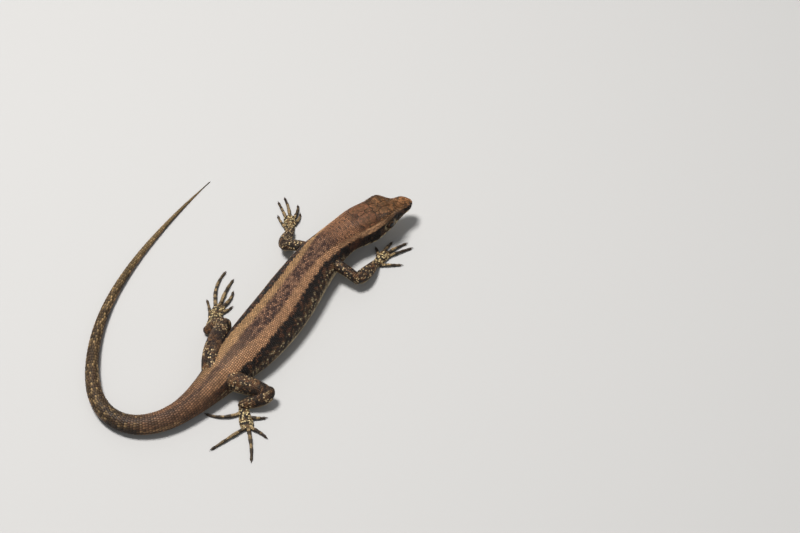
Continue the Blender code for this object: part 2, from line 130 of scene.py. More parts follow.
DIGITS = {                # where each digit starts, bends and ends, innermost first
    "hand_left": (
        ((25.1, 12.8), (26.7, 12.9), (28.1, 13.5)),
        ((26.0, 13.8), (28.1, 14.3), (29.8, 15.2)),
        ((26.3, 14.9), (28.4, 16.7), (30.1, 18.7)),
        ((25.4, 15.0), (26.9, 17.0), (28.4, 19.1)),
        ((23.2, 13.6), (24.0, 15.3), (25.1, 16.9)),
    ),
    "hand_right": (
        ((27.2, -6.6), (28.1, -5.9), (28.8, -5.1)),
        ((28.4, -7.1), (30.1, -6.9), (31.7, -6.9)),
        ((28.8, -7.8), (31.0, -8.5), (33.1, -9.4)),
        ((28.2, -8.5), (30.4, -9.7), (32.6, -11.0)),
        ((25.4, -8.6), (26.5, -10.2), (27.6, -11.7)),
    ),
    "foot_left": (
        ((-3.2, 11.5), (-2.0, 10.8), (-0.6, 10.5)),
        ((-1.6, 12.0), (0.8, 11.9), (2.8, 12.5)),
        ((-1.5, 12.6), (2.4, 13.9), (5.4, 14.5)),
        ((-2.0, 13.2), (1.9, 16.0), (6.3, 17.1)),
        ((-6.2, 11.7), (-4.0, 13.3), (-1.8, 15.5)),
    ),
    "foot_right": (
        ((-21.6, -8.9), (-20.8, -10.3), (-19.9, -11.4)),
        ((-23.5, -10.4), (-23.3, -12.4), (-23.5, -14.2)),
        ((-24.0, -10.6), (-26.7, -13.1), (-29.4, -15.1)),
        ((-24.1, -9.8), (-27.7, -8.6), (-31.3, -7.4)),
        ((-21.6, -6.9), (-24.0, -4.8), (-25.2, -1.7)),
    ),
}
DIGIT_BASE_RADIUS = {"hand": 0.42, "foot": 0.46}
DIGIT_TIP_RADIUS = 0.27
DIGIT_HEIGHT = 0.25
DIGIT_KNUCKLE_RISE = 0.20

FLESH_NODES = tuple(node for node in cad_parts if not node.startswith("eye_"))


# ---------------- numbers
def srgb(red: float, green: float, blue: float) -> Array:
    """The linear colour of an eight-bit screen colour."""
    c = np.array((red, green, blue)) / 255.0
    return np.where(c <= 0.04045, c / 12.92, ((c + 0.055) / 1.055) ** 2.4)


def smoothstep(low: Array | float, high: Array | float, x: Array) -> Array:
    """A smooth climb from 0 at low to 1 at high."""
    t = np.clip((x - low) / (high - low), 0.0, 1.0)
    return t * t * (3 - 2 * t)


def mix(first: Array, second: Array, share: Array) -> Array:
    """Blend two colours, or two lists of them, by a share for each row."""
    share = np.asarray(share)[:, None]
    return first * (1 - share) + second * share


def smooth_table(table: Table, stations: Array) -> Array:
    """Read a table as a smooth curve through its rows that keeps their slopes.

    Args:
        table: Rows of a station and its values.
        stations: Where to read it.

    Returns:
        One row of values for each station.
    """
    rows = np.array(table, dtype=float)
    at = rows[:, 0]
    s = np.clip(np.atleast_1d(stations).astype(float), at[0], at[-1])
    i = np.clip(np.searchsorted(at, s, side="right") - 1, 0, len(at) - 2)
    rise = np.diff(rows[:, 1:], axis=0) / np.diff(at)[:, None]
    slopes = np.zeros_like(rows[:, 1:])
    slopes[0], slopes[-1] = rise[0], rise[-1]
    same_way = rise[:-1] * rise[1:] > 0
    safe = np.where(same_way, rise[:-1] + rise[1:], 1.0)
    slopes[1:-1] = np.where(same_way, 2 * rise[:-1] * rise[1:] / safe, 0.0)
    h = (at[i + 1] - at[i])[:, None]
    t = (s - at[i])[:, None] / h
    low, high = rows[i, 1:], rows[i + 1, 1:]
    return (
        low * (1 + 2 * t) * (1 - t) ** 2
        + high * t * t * (3 - 2 * t)
        + h * slopes[i] * t * (1 - t) ** 2
        - h * slopes[i + 1] * t * t * (1 - t)
    )


HASH_WORD = 0xFFFFFFFF
HASH_START, HASH_FIRST, HASH_SECOND = 0x9E3779B1, 0x85EBCA6B, 0xC2B2AE35
DOT_MARGIN, DOT_ROOM = 0.15, 0.7    # a dot keeps this far from its cell's near edge, and moves this far
SECOND_SEED = 91


def lattice(cells: Array, seed: int) -> Array:
    """A steady number from 0 to 1 for each whole-numbered cell.

    Args:
        cells: One row of whole numbers for each cell.
        seed: Which of many such patterns.

    Returns:
        One number for each row.
    """
    h = np.full(len(cells), (seed * HASH_START) & HASH_WORD, dtype=np.uint64)
    for axis in range(cells.shape[1]):
        number = (cells[:, axis].astype(np.int64) & HASH_WORD).astype(np.uint64)
        h = ((h ^ number) * HASH_FIRST) & HASH_WORD
        h = ((h ^ (h >> np.uint64(13))) * HASH_SECOND) & HASH_WORD
        h = h ^ (h >> np.uint64(16))
    return h / float(HASH_WORD)


def noise(points: Array, size: float, seed: int) -> Array:
    """Soft noise from 0 to 1.

    Args:
        points: One row for each place.
        size: Spacing of its cells.
        seed: Which of many such patterns.

    Returns:
        One number for each row.
    """
    p = points / size
    cell = np.floor(p)
    f = p - cell
    f = f * f * (3 - 2 * f)
    total = np.zeros(len(p))
    for corner in product((0, 1), repeat=p.shape[1]):
        weight = np.prod(np.where(np.array(corner), f, 1 - f), axis=1)
        total += weight * lattice(cell + np.array(corner), seed)
    return total


def spots(points: Array, size: float, seed: int) -> Array:
    """Distance to the nearest of many scattered dots, as a share of their spacing.

    Args:
        points: One row of two numbers for each place.
        size: Mean spacing of the dots.
        seed: Which of many such patterns.

    Returns:
        One number for each row.
    """
    p = points / size
    cell = np.floor(p)
    best = np.full(len(p), 9.0)
    for step in product((-1, 0, 1), repeat=2):
        near = cell + np.array(step)
        shift = np.stack([lattice(near, seed), lattice(near, seed + SECOND_SEED)], axis=1)
        dot = near + DOT_MARGIN + DOT_ROOM * shift
        best = np.minimum(best, np.linalg.norm(p - dot, axis=1))
    return best


def clouds(place: Array, size: float, seed: int, low: float, high: float) -> Array:
    """Noise made into patches: 0 where it is under low and 1 where it is over high."""
    return smoothstep(low, high, noise(place, size, seed))


# ---------------- surfaces
TINY = 1e-12


class Surface:
    """A smooth closed surface kept as a grid of points."""

    def __init__(self, along: Array, points: Array) -> None:
        """Measure a grid of points.

        Args:
            along: The u of each row.
            points: Rows of points from v -0.5 to 0.5, the first and last the same.
        """
        self.along = along
        self.points = points
        lengthwise = np.gradient(points, axis=0)
        wrapped = np.concatenate([points[:, -2:-1], points, points[:, 1:2]], axis=1)
        crosswise = wrapped[:, 2:] - wrapped[:, :-2]
        normals = np.cross(crosswise, lengthwise)
        self.normals = normals / (np.linalg.norm(normals, axis=2, keepdims=True) + TINY)
        self.girths = np.linalg.norm(np.diff(points, axis=1), axis=2).sum(axis=1)

    def read(self, grid: Array, u: Array, v: Array) -> Array:
        """Read any grid of this surface between its points.

        Args:
            grid: Values at the rows and columns.
            u: Places along the surface, in millimetres.
            v: Places round it, in turns.

        Returns:
            The values there.
        """
        rows, columns = grid.shape[:2]
        i = np.interp(u, self.along, np.arange(rows))
        j = ((v + 0.5) % 1.0) * (columns - 1)
        i0 = np.minimum(i.astype(int), rows - 2)
        j0 = np.minimum(j.astype(int), columns - 2)
        a = (i - i0)[:, None]
        b = (j - j0)[:, None]
        near = grid[i0, j0] * (1 - b) + grid[i0, j0 + 1] * b
        far = grid[i0 + 1, j0] * (1 - b) + grid[i0 + 1, j0 + 1] * b
        return near * (1 - a) + far * a

    def at(self, u: Array, v: Array, lift: Array | float) -> Array:
        """Points at (u, v), stood off the surface by lift, in millimetres and above the floor.

        Args:
            u: Places along the surface, in millimetres.
            v: Places round it, in turns.
            lift: How far they stand off it.

        Returns:
            A point for each place.
        """
        normal = self.read(self.normals, u, v)
        normal /= np.linalg.norm(normal, axis=1, keepdims=True) + TINY
        found = self.read(self.points, u, v) + normal * np.reshape(lift, (-1, 1))
        found[:, 2] = np.maximum(found[:, 2], FLOOR_GAP)
        return found

    def girth(self, u: Array) -> Array:
        """The length once round at u."""
        return np.interp(u, self.along, self.girths)


class Spine:
    """The curve the body lies along."""

    def __init__(self) -> None:
        """Walk the headings from the snout to the tail's tip."""
        count = int(BODY_LENGTH / SPINE_STEP) + 1
        self.stations = np.linspace(0.0, BODY_LENGTH, count)
        self.headings = np.radians(smooth_table(SPINE_HEADINGS, self.stations)[:, 0])
        middle = (self.headings[1:] + self.headings[:-1]) / 2
        self.x = np.concatenate([[0.0], np.cumsum(-np.cos(middle) * SPINE_STEP)])
        self.y = np.concatenate([[0.0], np.cumsum(-np.sin(middle) * SPINE_STEP)])
        self.x -= np.interp(BELLY_STATION, self.stations, self.x)
        self.y -= np.interp(BELLY_STATION, self.stations, self.y)

    def place(self, station: Array, across: Array, height: Array) -> Array:
        """Points beside the spine; across is positive to the animal's left.

        Args:
            station: Distance behind the snout.
            across: Distance to the animal's left.
            height: Height over the floor.

        Returns:
            A point for each place.
        """
        heading = np.interp(station, self.stations, self.headings)
        ahead = np.minimum(station, 0.0)
        x = np.interp(station, self.stations, self.x) - np.sin(heading) * across
        y = np.interp(station, self.stations, self.y) + np.cos(heading) * across
        x = x - ahead * np.cos(heading)
        y = y - ahead * np.sin(heading)
        return np.stack(np.broadcast_arrays(x, y, height), axis=-1)


class Body(Surface):
    """Head, neck, trunk and tail as one surface along the spine."""

    HALF_COLUMNS = 60
    FINE = 241
    HEAD_END = 16.0           # the sections stand closer together before it
    HEAD_STEP = 0.125
    BLOCK = 4000

    def __init__(self, spine: Spine) -> None:
        """Lay out the sections and read them evenly round their girth.

        Args:
            spine: The curve it lies along.
        """
        self.spine = spine
        cap = -SNOUT_CAP * np.cos(np.linspace(0.0, math.pi / 2, 7))
        stations = np.concatenate([cap[:-1], np.arange(0.0, self.HEAD_END, self.HEAD_STEP),
                                   np.arange(self.HEAD_END, BODY_LENGTH + 0.01, SPINE_STEP)])
        angles = np.linspace(math.pi / 2, -math.pi / 2, self.FINE)
        across, height = self.outline(stations, angles)
        arcs = np.hypot(np.diff(across, axis=1), np.diff(height, axis=1))
        arcs = np.concatenate([np.zeros((len(stations), 1)), np.cumsum(arcs, axis=1)], axis=1)
        share = np.linspace(0.0, 1.0, self.HALF_COLUMNS + 1)
        half = np.zeros((len(stations), len(share), 3))
        for k, arc in enumerate(arcs):
            for column, values in enumerate((across[k], height[k], np.degrees(angles))):
                half[k, :, column] = np.interp(share * arc[-1], arc, values)
        self.half = half
        mirrored = half[:, :0:-1] * (-1, 1, 1)
        section = np.concatenate([mirrored, half], axis=1)
        points = spine.place(stations[:, None], section[..., 0], section[..., 1])
        super().__init__(stations, points)
        self.turns = section[..., 2:3]

    @staticmethod
    def sections(stations: Array) -> tuple[Array, ...]:
        """Half width, top, side and underside, and the two squarenesses, at each station.

        Args:
            stations: Places along the spine.

        Returns:
            One row of each measure.
        """
        upper, lower = smooth_table(BODY_SQUARENESS, stations).T
        half, top, side, under = smooth_table(BODY_SECTIONS, stations).T
        share = np.clip((stations - TAIL_START) / (BODY_LENGTH - TAIL_START), 0.0, 1.0)
        drawn = 1 - TAIL_TIP_DRAW * share ** TAIL_TIP_POWER
        tail_half = TAIL_HALF_WIDTH * np.exp(-TAIL_DECAY * share) * drawn
        is_tail = stations > TAIL_START
        half = np.where(is_tail, tail_half, half)
        top = np.where(is_tail, TAIL_RISE[0] * tail_half + TAIL_UNDERSIDE, top)
        side = np.where(is_tail, TAIL_RISE[1] * tail_half, side)
        under = np.where(is_tail, TAIL_UNDERSIDE, under)
        return half, top, side, under, upper, lower

    def outline(self, stations: Array, angles: Array) -> tuple[Array, Array]:
        """Across and height of the left half of each section, from the top to the underside.

        Args:
            stations: Places along the spine.
            angles: Angles from the back to the underside.

        Returns:
            Both, with a row for each station.
        """
        half, top, side, under, upper, lower = (c[:, None] for c in self.sections(stations))
        swell = np.zeros((len(stations), len(angles)))
        for centre, length, lift, spread, height in HEAD_SWELLS:
            along = (stations[:, None] - centre) / length
            swell += height * np.exp(-along ** 2 - ((np.degrees(angles) - lift) / spread) ** 2)
        sine, cosine = np.sin(angles), np.maximum(np.cos(angles), 0.0)
        square = np.where(sine >= 0, upper, lower)
        reach = np.where(sine >= 0, top - side, side - under)
        across = half * cosine ** (2 / square) + swell * cosine
        height = side + reach * np.sign(sine) * np.abs(sine) ** (2 / square) + swell * sine
        shrink = np.sqrt(np.clip(1 - (np.minimum(stations, 0.0) / SNOUT_CAP) ** 2, 0.0, 1.0))[:, None]
        across = across * shrink
        height = side + (height - side) * shrink
        return across, np.maximum(height, 0.0)

    def turn(self, u: Array, v: Array) -> Array:
        """Angle round the section: 90 on the back, 0 at the side and -90 below."""
        return self.read(self.turns, u, v)[:, 0]

    def find(self, station: float, value: float, column: int) -> float:
        """The v on the left side where a section measure has a value.

        Args:
            station: The u of the section.
            value: Across on the upper side, a height, or a turn in degrees.
            column: 0 for across, 1 for height and 2 for turn.

        Returns:
            v, from 0 to 0.5.
        """
        row = self.half[int(np.argmin(np.abs(self.along - station)))]
        share = np.linspace(0.0, 0.5, len(row))
        if column == 0:
            widest = int(np.argmax(row[:, 0])) + 1
            return float(np.interp(value, row[:widest, 0], share[:widest]))
        return float(np.interp(-value, -row[:, column], share))

    def holds(self, points: Array) -> Array:
        """Whether each point, in millimetres, is inside the body.

        Args:
            points: Points in millimetres.

        Returns:
            Yes or no for each.
        """
        nearest = np.zeros(len(points), dtype=int)
        path = np.stack([self.spine.x, self.spine.y], axis=1)
        for start in range(0, len(points), self.BLOCK):
            block = points[start:start + self.BLOCK, :2]
            gaps = ((block[:, None] - path[None]) ** 2).sum(axis=2)
            nearest[start:start + self.BLOCK] = np.argmin(gaps, axis=1)
        half, top, side, under, upper, lower = self.sections(self.spine.stations[nearest])
        across = np.linalg.norm(points[:, :2] - path[nearest], axis=1)
        above = points[:, 2] >= side
        square = np.where(above, upper, lower)
        reach = np.where(above, top - side, side - under)
        return (across / half) ** square + (np.abs(points[:, 2] - side) / reach) ** square < 1.0


class Tube(Surface):
    """A limb, palm or digit: flat-bottomed where it meets the floor, with rounded ends."""

    COLUMNS = 32
    CAP_RINGS = 7
    INNER = 0.93              # a point counts as inside within this share of the radii

    def __init__(self, path: Array, half_widths: Array, half_heights: Array) -> None:
        """Sweep an ellipse along a path.

        Args:
            path: Points of the centre line, evenly spaced.
            half_widths: Half width at each.
            half_heights: Half height at each.
        """
        step = np.linalg.norm(np.diff(path, axis=0), axis=1)
        along = np.concatenate([[0.0], np.cumsum(step)])
        ends = []
        for point, inner, radius in ((path[0], path[1], half_heights[0]),
                                     (path[-1], path[-2], half_heights[-1])):
            away = (point - inner) / np.linalg.norm(point - inner)
            reach = radius * np.sin(np.linspace(0.0, math.pi / 2, self.CAP_RINGS + 1))[1:]
            ends.append((reach, point + away * reach[:, None], np.sqrt(1 - (reach / radius) ** 2)))
        (near, near_path, near_size), (far, far_path, far_size) = ends
        self.length = float(along[-1])
        along = np.concatenate([-near[::-1], along, along[-1] + far])
        centre = np.concatenate([near_path[::-1], path, far_path])
        size = np.concatenate([near_size[::-1], np.ones(len(path)), far_size])
        wide, high = (np.concatenate([np.full(self.CAP_RINGS, h[0]), h, np.full(self.CAP_RINGS, h[-1])])
                      for h in (half_widths, half_heights))
        tangent = np.gradient(centre, axis=0)
        tangent /= np.linalg.norm(tangent, axis=1, keepdims=True)
        side = np.cross(tangent, (0.0, 0.0, 1.0))
        side /= np.linalg.norm(side, axis=1, keepdims=True)
        rise = np.cross(side, tangent)
        turn = np.linspace(-math.pi, math.pi, self.COLUMNS + 1)[None, :, None]
        points = centre[:, None] + side[:, None] * np.sin(turn) * (wide * size)[:, None, None]
        points = points + rise[:, None] * np.cos(turn) * (high * size)[:, None, None]
        points[..., 2] = np.maximum(points[..., 2], 0.0)
        self.centre = centre
        self.radii = np.maximum(np.stack([wide, wide, high], axis=1) * size[:, None], 0.001)
        super().__init__(along, points)

    def holds(self, points: Array) -> Array:
        """Whether each point is inside the tube."""
        gaps = np.linalg.norm((points[:, None] - self.centre[None]) / self.radii[None], axis=2)
        return (gaps < self.INNER).any(axis=1)


def through(points: Sequence[Sequence[float]], count: int) -> Array:
    """Points evenly along a smooth curve through three points, end to end.

    Args:
        points: Its start, bend and end.
        count: How many points.

    Returns:
        The points in order.
    """
    first, middle, last = (np.array(p, dtype=float) for p in points)
    control = 2 * middle - (first + last) / 2
    share = np.linspace(0.0, 1.0, count)[:, None]
    return first * (1 - share) ** 2 + 2 * control * share * (1 - share) + last * share ** 2


class Part(Enum):
    """Kinds of limb surface, which have their own scales and markings."""

    ARM = "arm"
    LEG = "leg"
    PALM = "palm"
    DIGIT = "digit"


LONG_PARTS = (Part.ARM, Part.LEG)


@dataclass
class Limbs:
    """Every limb, palm and digit as a surface of its own."""

    limb_steps: int = 40
    palm_steps: int = 30
    digit_steps: int = 36
    heel_height: float = 0.55
    roots_height: float = 0.46
    joint_swelling: float = 0.08
    flatness: float = 0.94    # height of a digit as a share of its width
    tubes: dict[str, tuple[Part, Tube]] = field(default_factory=dict)

    def __post_init__(self) -> None:
        """Sweep each of them."""
        for name, points in LIMB_POINTS.items():
            row = through(points, self.limb_steps)
            kind = Part.ARM if "arm" in name else Part.LEG
            self.tubes[name] = (kind, Tube(row[:, :3], row[:, 3], row[:, 3]))
        for name, (heel, roots, half_width) in PALMS.items():
            self.tubes[name] = (Part.PALM, self.palm(heel, roots, half_width))
            for number, points in enumerate(DIGITS[name], start=1):
                base = DIGIT_BASE_RADIUS[name.split("_")[0]]
                self.tubes[f"{name}_digit_{number}"] = (Part.DIGIT, self.digit(points, base))

    def palm(self, heel: Sequence[float], roots: Sequence[float], half_width: float) -> Tube:
        """The flat of a hand or foot, widest before the digits.

        Args:
            heel: Where it starts.
            roots: Where the long digits start.
            half_width: Half of its greatest width.

        Returns:
            Its surface.
        """
        share = np.linspace(0.0, 1.0, self.palm_steps)
        start, end = np.array((*heel, self.heel_height)), np.array((*roots, self.roots_height))
        path = start + (end - start) * share[:, None]
        widths = smooth_table(PALM_WIDTHS, share)[:, 0]
        heights = smooth_table(PALM_HEIGHTS, share)[:, 0]
        return Tube(path, widths * half_width, heights * PALM_HALF_HEIGHT)

    def digit(self, points: Sequence[Sequence[float]], base: float) -> Tube:
        """A digit that lies on the floor, with slight swellings at its joints.

        Args:
            points: Where it starts, bends and ends.
            base: Radius at its root.

        Returns:
            Its surface.
        """
        row = through(points, self.digit_steps)
        share = np.linspace(0.0, 1.0, self.digit_steps)
        radii = base + (DIGIT_TIP_RADIUS - base) * share ** 0.7
        radii = radii * (1 + self.joint_swelling * np.cos(share * 6 * math.pi))
        height = DIGIT_HEIGHT + DIGIT_KNUCKLE_RISE * np.sin(math.pi * share) ** 2 * (1 - share)
        height = height + (base - DIGIT_TIP_RADIUS) * (1 - share)
        path = np.concatenate([row, height[:, None]], axis=1)
        return Tube(path, radii, radii * self.flatness)


# ---------------- markings
BLACK_BROWN = srgb(24, 16, 12)
DARK_BROWN = srgb(58, 42, 32)
UMBER = srgb(78, 56, 42)
BROWN = srgb(106, 78, 58)
WARM_BROWN = srgb(144, 100, 70)
TAN = srgb(170, 127, 92)
OCHRE = srgb(170, 134, 92)
CREAM = srgb(206, 184, 142)
BELLY = srgb(206, 186, 148)
COPPER = srgb(140, 101, 74)
OLIVE_BROWN = srgb(86, 67, 44)
TAIL_DOT = srgb(156, 128, 88)
TAIL_END = srgb(140, 116, 76)
BRONZE = srgb(88, 58, 35)
BRONZE_LIGHT = srgb(120, 82, 52)
OLIVE_BLACK = srgb(52, 40, 22)
PARIETAL = srgb(100, 64, 45)
RUST = srgb(108, 64, 44)
TOE_TAN = srgb(158, 134, 96)
EAR_RED = srgb(40, 22, 17)
LID_BROWN = srgb(96, 76, 54)
LID_PALE = srgb(186, 168, 132)

STRIPES = (               # station, angles where back, stripe, dark band and flank end
    (0, 52, 38, 22, -4), (6, 50, 30, 8, -8), (11, 36, 25, -8, -18), (17.5, 42, 29, -8, -22),
    (22, 60, 44, 16, -8), (27, 73, 55, 30, 2), (34.4, 77, 59, 30, -2), (47, 75, 53, 22, -10),
    (54, 79, 46, 16, -18), (62, 82, 42, 12, -18), (70, 86, 35, 5, -25), (80, 88, 30, 0, -35),
    (156, 88, 30, 0, -40),
)


@dataclass(frozen=True)
class Markings:
    """The animal's colours as a rule for any place on it."""

    ragged: float = 3.2
    spot_spacing: float = 1.25

    def on_body(self, body: Body, u: Array, v: Array) -> Array:
        """Colour of the body at (u, v).

        Args:
            body: The body's surface.
            u: Places along the surface, in millimetres.
            v: Places round it, in turns.

        Returns:
            A colour for each place.
        """
        place = np.stack([u, v * body.girth(u)], axis=1)
        turn = body.turn(u, v)
        edge = turn + self.ragged * (noise(place, 0.55, 1) + noise(place, 0.33, 2) - 1.0)
        back, stripe, band, flank = smooth_table(STRIPES, u).T
        fine = noise(place, 0.32, 3)
        colour = self.back(place, u, fine)
        tan = mix(TAN, OCHRE, smoothstep(-3.0, 3.0, place[:, 1]) * 0.8)
        tan = tan * (0.80 + 0.26 * noise(place, 1.2, 4) + 0.38 * (fine - 0.5))[:, None]
        colour = mix(colour, tan, smoothstep(back + 3, back - 3, edge))
        dark = mix(BLACK_BROWN, srgb(86, 56, 38), clouds(place * (0.8, 1.0), 0.5, 5, 0.52, 0.74))
        notch = 3.0 * clouds(place, 0.5, 6, 0.5, 0.62)
        colour = mix(colour, dark, smoothstep(stripe + 2, stripe - 2, edge + notch))
        low = self.flank(place, turn - band, fine)
        colour = mix(colour, low, smoothstep(band + 4, band - 4, edge + 16 * (noise(place, 0.9, 41) - 0.5)))
        colour = mix(colour, self.belly(place, fine), smoothstep(flank + 6, flank - 6, edge))
        colour = mix(colour, self.tail(place, u, turn, fine), smoothstep(58.0, 70.0, u))
        rust = np.exp(-((u - 16.4) / 1.6) ** 2 - ((turn - 8) / 12) ** 2)
        colour = mix(colour, RUST * (0.7 + 0.6 * fine)[:, None], np.clip(0.8 * rust, 0, 1))
        return mix(colour, self.head(place, u, turn, fine), smoothstep(15.5, 13.2, u))

    def back(self, place: Array, u: Array, fine: Array) -> Array:
        """The mottled zone along the spine, plainer on the neck.

        Args:
            place: Places on the surface, in millimetres.
            u: Places along the surface, in millimetres.
            fine: Fine noise there, from 0 to 1.

        Returns:
            A colour for each place.
        """
        streak = 0.5 * noise(place * (0.55, 1.0), 0.5, 7) + 0.5 * noise(place * (0.8, 1.0), 0.3, 8)
        mottled = mix(srgb(58, 34, 25), srgb(102, 71, 54), smoothstep(0.36, 0.48, streak))
        mottled = mix(mottled, srgb(136, 100, 76), smoothstep(0.54, 0.66, streak))
        plain = mix(WARM_BROWN, DARK_BROWN, 0.95 * smoothstep(0.26, 0.16, spots(place, 0.85, 10)))
        plain = mix(plain, srgb(146, 104, 70), 0.6 * clouds(place, 0.6, 9, 0.6, 0.8))
        mottled = mix(mottled, BROWN, 0.7 * smoothstep(47.0, 55.0, u))
        return mix(plain, mottled, smoothstep(17.0, 23.0, u)) * (0.78 + 0.44 * fine)[:, None]

    def flank(self, place: Array, below: Array, fine: Array) -> Array:
        """Brown under the dark band, with a row of pale spots and a fainter one under it.

        Args:
            place: Places on the surface, in millimetres.
            below: Angle from the dark band, negative below it.
            fine: Fine noise there, from 0 to 1.

        Returns:
            A colour for each place.
        """
        ground = mix(DARK_BROWN, srgb(116, 86, 58), clouds(place, 0.6, 11, 0.3, 0.75))
        ground = mix(ground, BLACK_BROWN, 0.7 * clouds(place, 0.8, 12, 0.6, 0.75))
        dots = spots(place * (1.0, 1.25), self.spot_spacing, 13)
        spot = smoothstep(0.30, 0.18, dots + 0.16 * (noise(place, 0.3, 42) - 0.5))
        row = np.exp(-((below + 9) / 8) ** 2) + 0.5 * np.exp(-((below + 30) / 10) ** 2)
        colour = mix(ground, CREAM * 0.85, np.clip(spot * (0.25 + row), 0, 1))
        return colour * (0.86 + 0.28 * fine)[:, None]

    def belly(self, place: Array, fine: Array) -> Array:
        """The cream underside, with dark marks on its outer plates."""
        mark = clouds(place, 1.4, 14, 0.66, 0.8)
        return mix(BELLY, srgb(98, 78, 58), 0.7 * mark) * (0.92 + 0.16 * fine)[:, None]

    def tail(self, place: Array, u: Array, turn: Array, fine: Array) -> Array:
        """Copper at the root, then olive brown with rows of pale dots, paler at the end.

        Args:
            place: Places on the surface, in millimetres.
            u: Places along the surface, in millimetres.
            turn: Angle up from the side.
            fine: Fine noise there, from 0 to 1.

        Returns:
            A colour for each place.
        """
        back = smoothstep(20.0, 45.0, turn)
        copper = mix(COPPER, srgb(118, 86, 64), clouds(place, 1.1, 15, 0.4, 0.7))
        olive = mix(OLIVE_BROWN, srgb(72, 54, 34), clouds(place, 0.8, 16, 0.45, 0.7))
        olive = mix(olive, TAIL_END, 0.8 * smoothstep(108.0, 140.0, u))
        dot = smoothstep(0.36, 0.22, spots(place * (1.0, 1.1), 0.9, 17))
        olive = mix(olive, TAIL_DOT, 0.9 * dot)
        change = smoothstep(75.0, 84.0, u + 5 * (noise(place, 1.2, 18) - 0.5))
        ground = mix(copper, olive, change)
        line = np.exp(-((place[:, 1] + 0.25 * noise(place, 1.5, 19)) / 0.36) ** 2)
        ground = mix(ground, UMBER, 0.85 * line * smoothstep(84.0, 79.0, u))
        fleck = clouds(place, 0.75, 20, 0.58, 0.7) * smoothstep(70.0, 77.0, u) * back
        ground = mix(ground, UMBER, 0.6 * fleck * smoothstep(110.0, 90.0, u))
        # painted highlights and shade: pale and dark lengthwise streaks along the keels on the sides of the
        # tail's root
        streak = clouds(place * (0.12, 1.0), 0.42, 21, 0.40, 0.60)
        side = mix(DARK_BROWN, srgb(188, 146, 104), streak)
        ground = mix(ground, side, 0.8 * smoothstep(26.0, 8.0, turn) * smoothstep(66.0, 74.0, u))
        under = mix(BELLY * 0.85, OLIVE_BROWN, 0.5 * smoothstep(80.0, 110.0, u))
        ground = mix(ground, under, smoothstep(-30.0, -55.0, turn))
        # painted shade: the tail is darkened round its bend near station 84
        ground = ground * (1 - 0.28 * np.exp(-((u - 84.0) / 5.0) ** 2))[:, None]
        return ground * (0.78 + 0.44 * fine)[:, None]

    def head(self, place: Array, u: Array, turn: Array, fine: Array) -> Array:
        """Bronze shields with dark vermiculation, pale lips and a pale line over the dark temple.

        Args:
            place: Places on the surface, in millimetres.
            u: Places along the surface, in millimetres.
            turn: Angle up from the side.
            fine: Fine noise there, from 0 to 1.

        Returns:
            A colour for each place.
        """
        ground = mix(BRONZE, BRONZE_LIGHT, 0.7 * clouds(place, 0.5, 22, 0.5, 0.75))
        ground = mix(ground, PARIETAL, 0.8 * smoothstep(8.6, 10.4, u))
        ground = ground * (1 + 0.75 * smoothstep(5.0, 2.0, u))[:, None]
        worm = np.abs(noise(place, 0.34, 23) - 0.5) * 2
        dark = smoothstep(0.34, 0.10, worm) + 0.7 * clouds(place, 0.26, 24, 0.54, 0.68)
        colour = mix(ground, OLIVE_BLACK, 0.75 * np.clip(dark, 0, 1))
        ridge = np.interp(u, (4.0, 8.0, 11.0), (36.0, 24.0, 21.0))
        pale_line = smoothstep(15.0, 8.0, np.abs(turn - ridge - 6.0)) * smoothstep(2.5, 4.5, u)
        pale = srgb(186, 142, 104) * (0.75 + 0.5 * noise(place, 0.5, 25))[:, None]
        colour = mix(colour, pale, (0.5 + 0.4 * smoothstep(6.0, 10.0, u)) * pale_line)
        temple = mix(BLACK_BROWN, UMBER, clouds(place, 0.8, 26, 0.55, 0.8))
        colour = mix(colour, temple, smoothstep(ridge + 1.0, ridge - 4.0, turn))
        lip = mix(srgb(84, 66, 46), CREAM, smoothstep(0.42, 0.22, spots(place * (1, 0.8), 1.3, 27)))
        chin = np.interp(u, (6.0, 10.0), (0.0, -8.0))
        colour = mix(colour, lip, smoothstep(chin + 3.0, chin - 6.0, turn))
        throat = mix(BELLY, srgb(120, 104, 76), 0.7 * clouds(place, 1.0, 28, 0.55, 0.75))
        colour = mix(colour, throat, smoothstep(-34.0, -46.0, turn))
        snout = smoothstep(1.6, 0.2, u) * smoothstep(40.0, 10.0, turn)
        colour = mix(colour, BLACK_BROWN, 0.7 * snout)
        return colour * (0.86 + 0.28 * fine)[:, None]

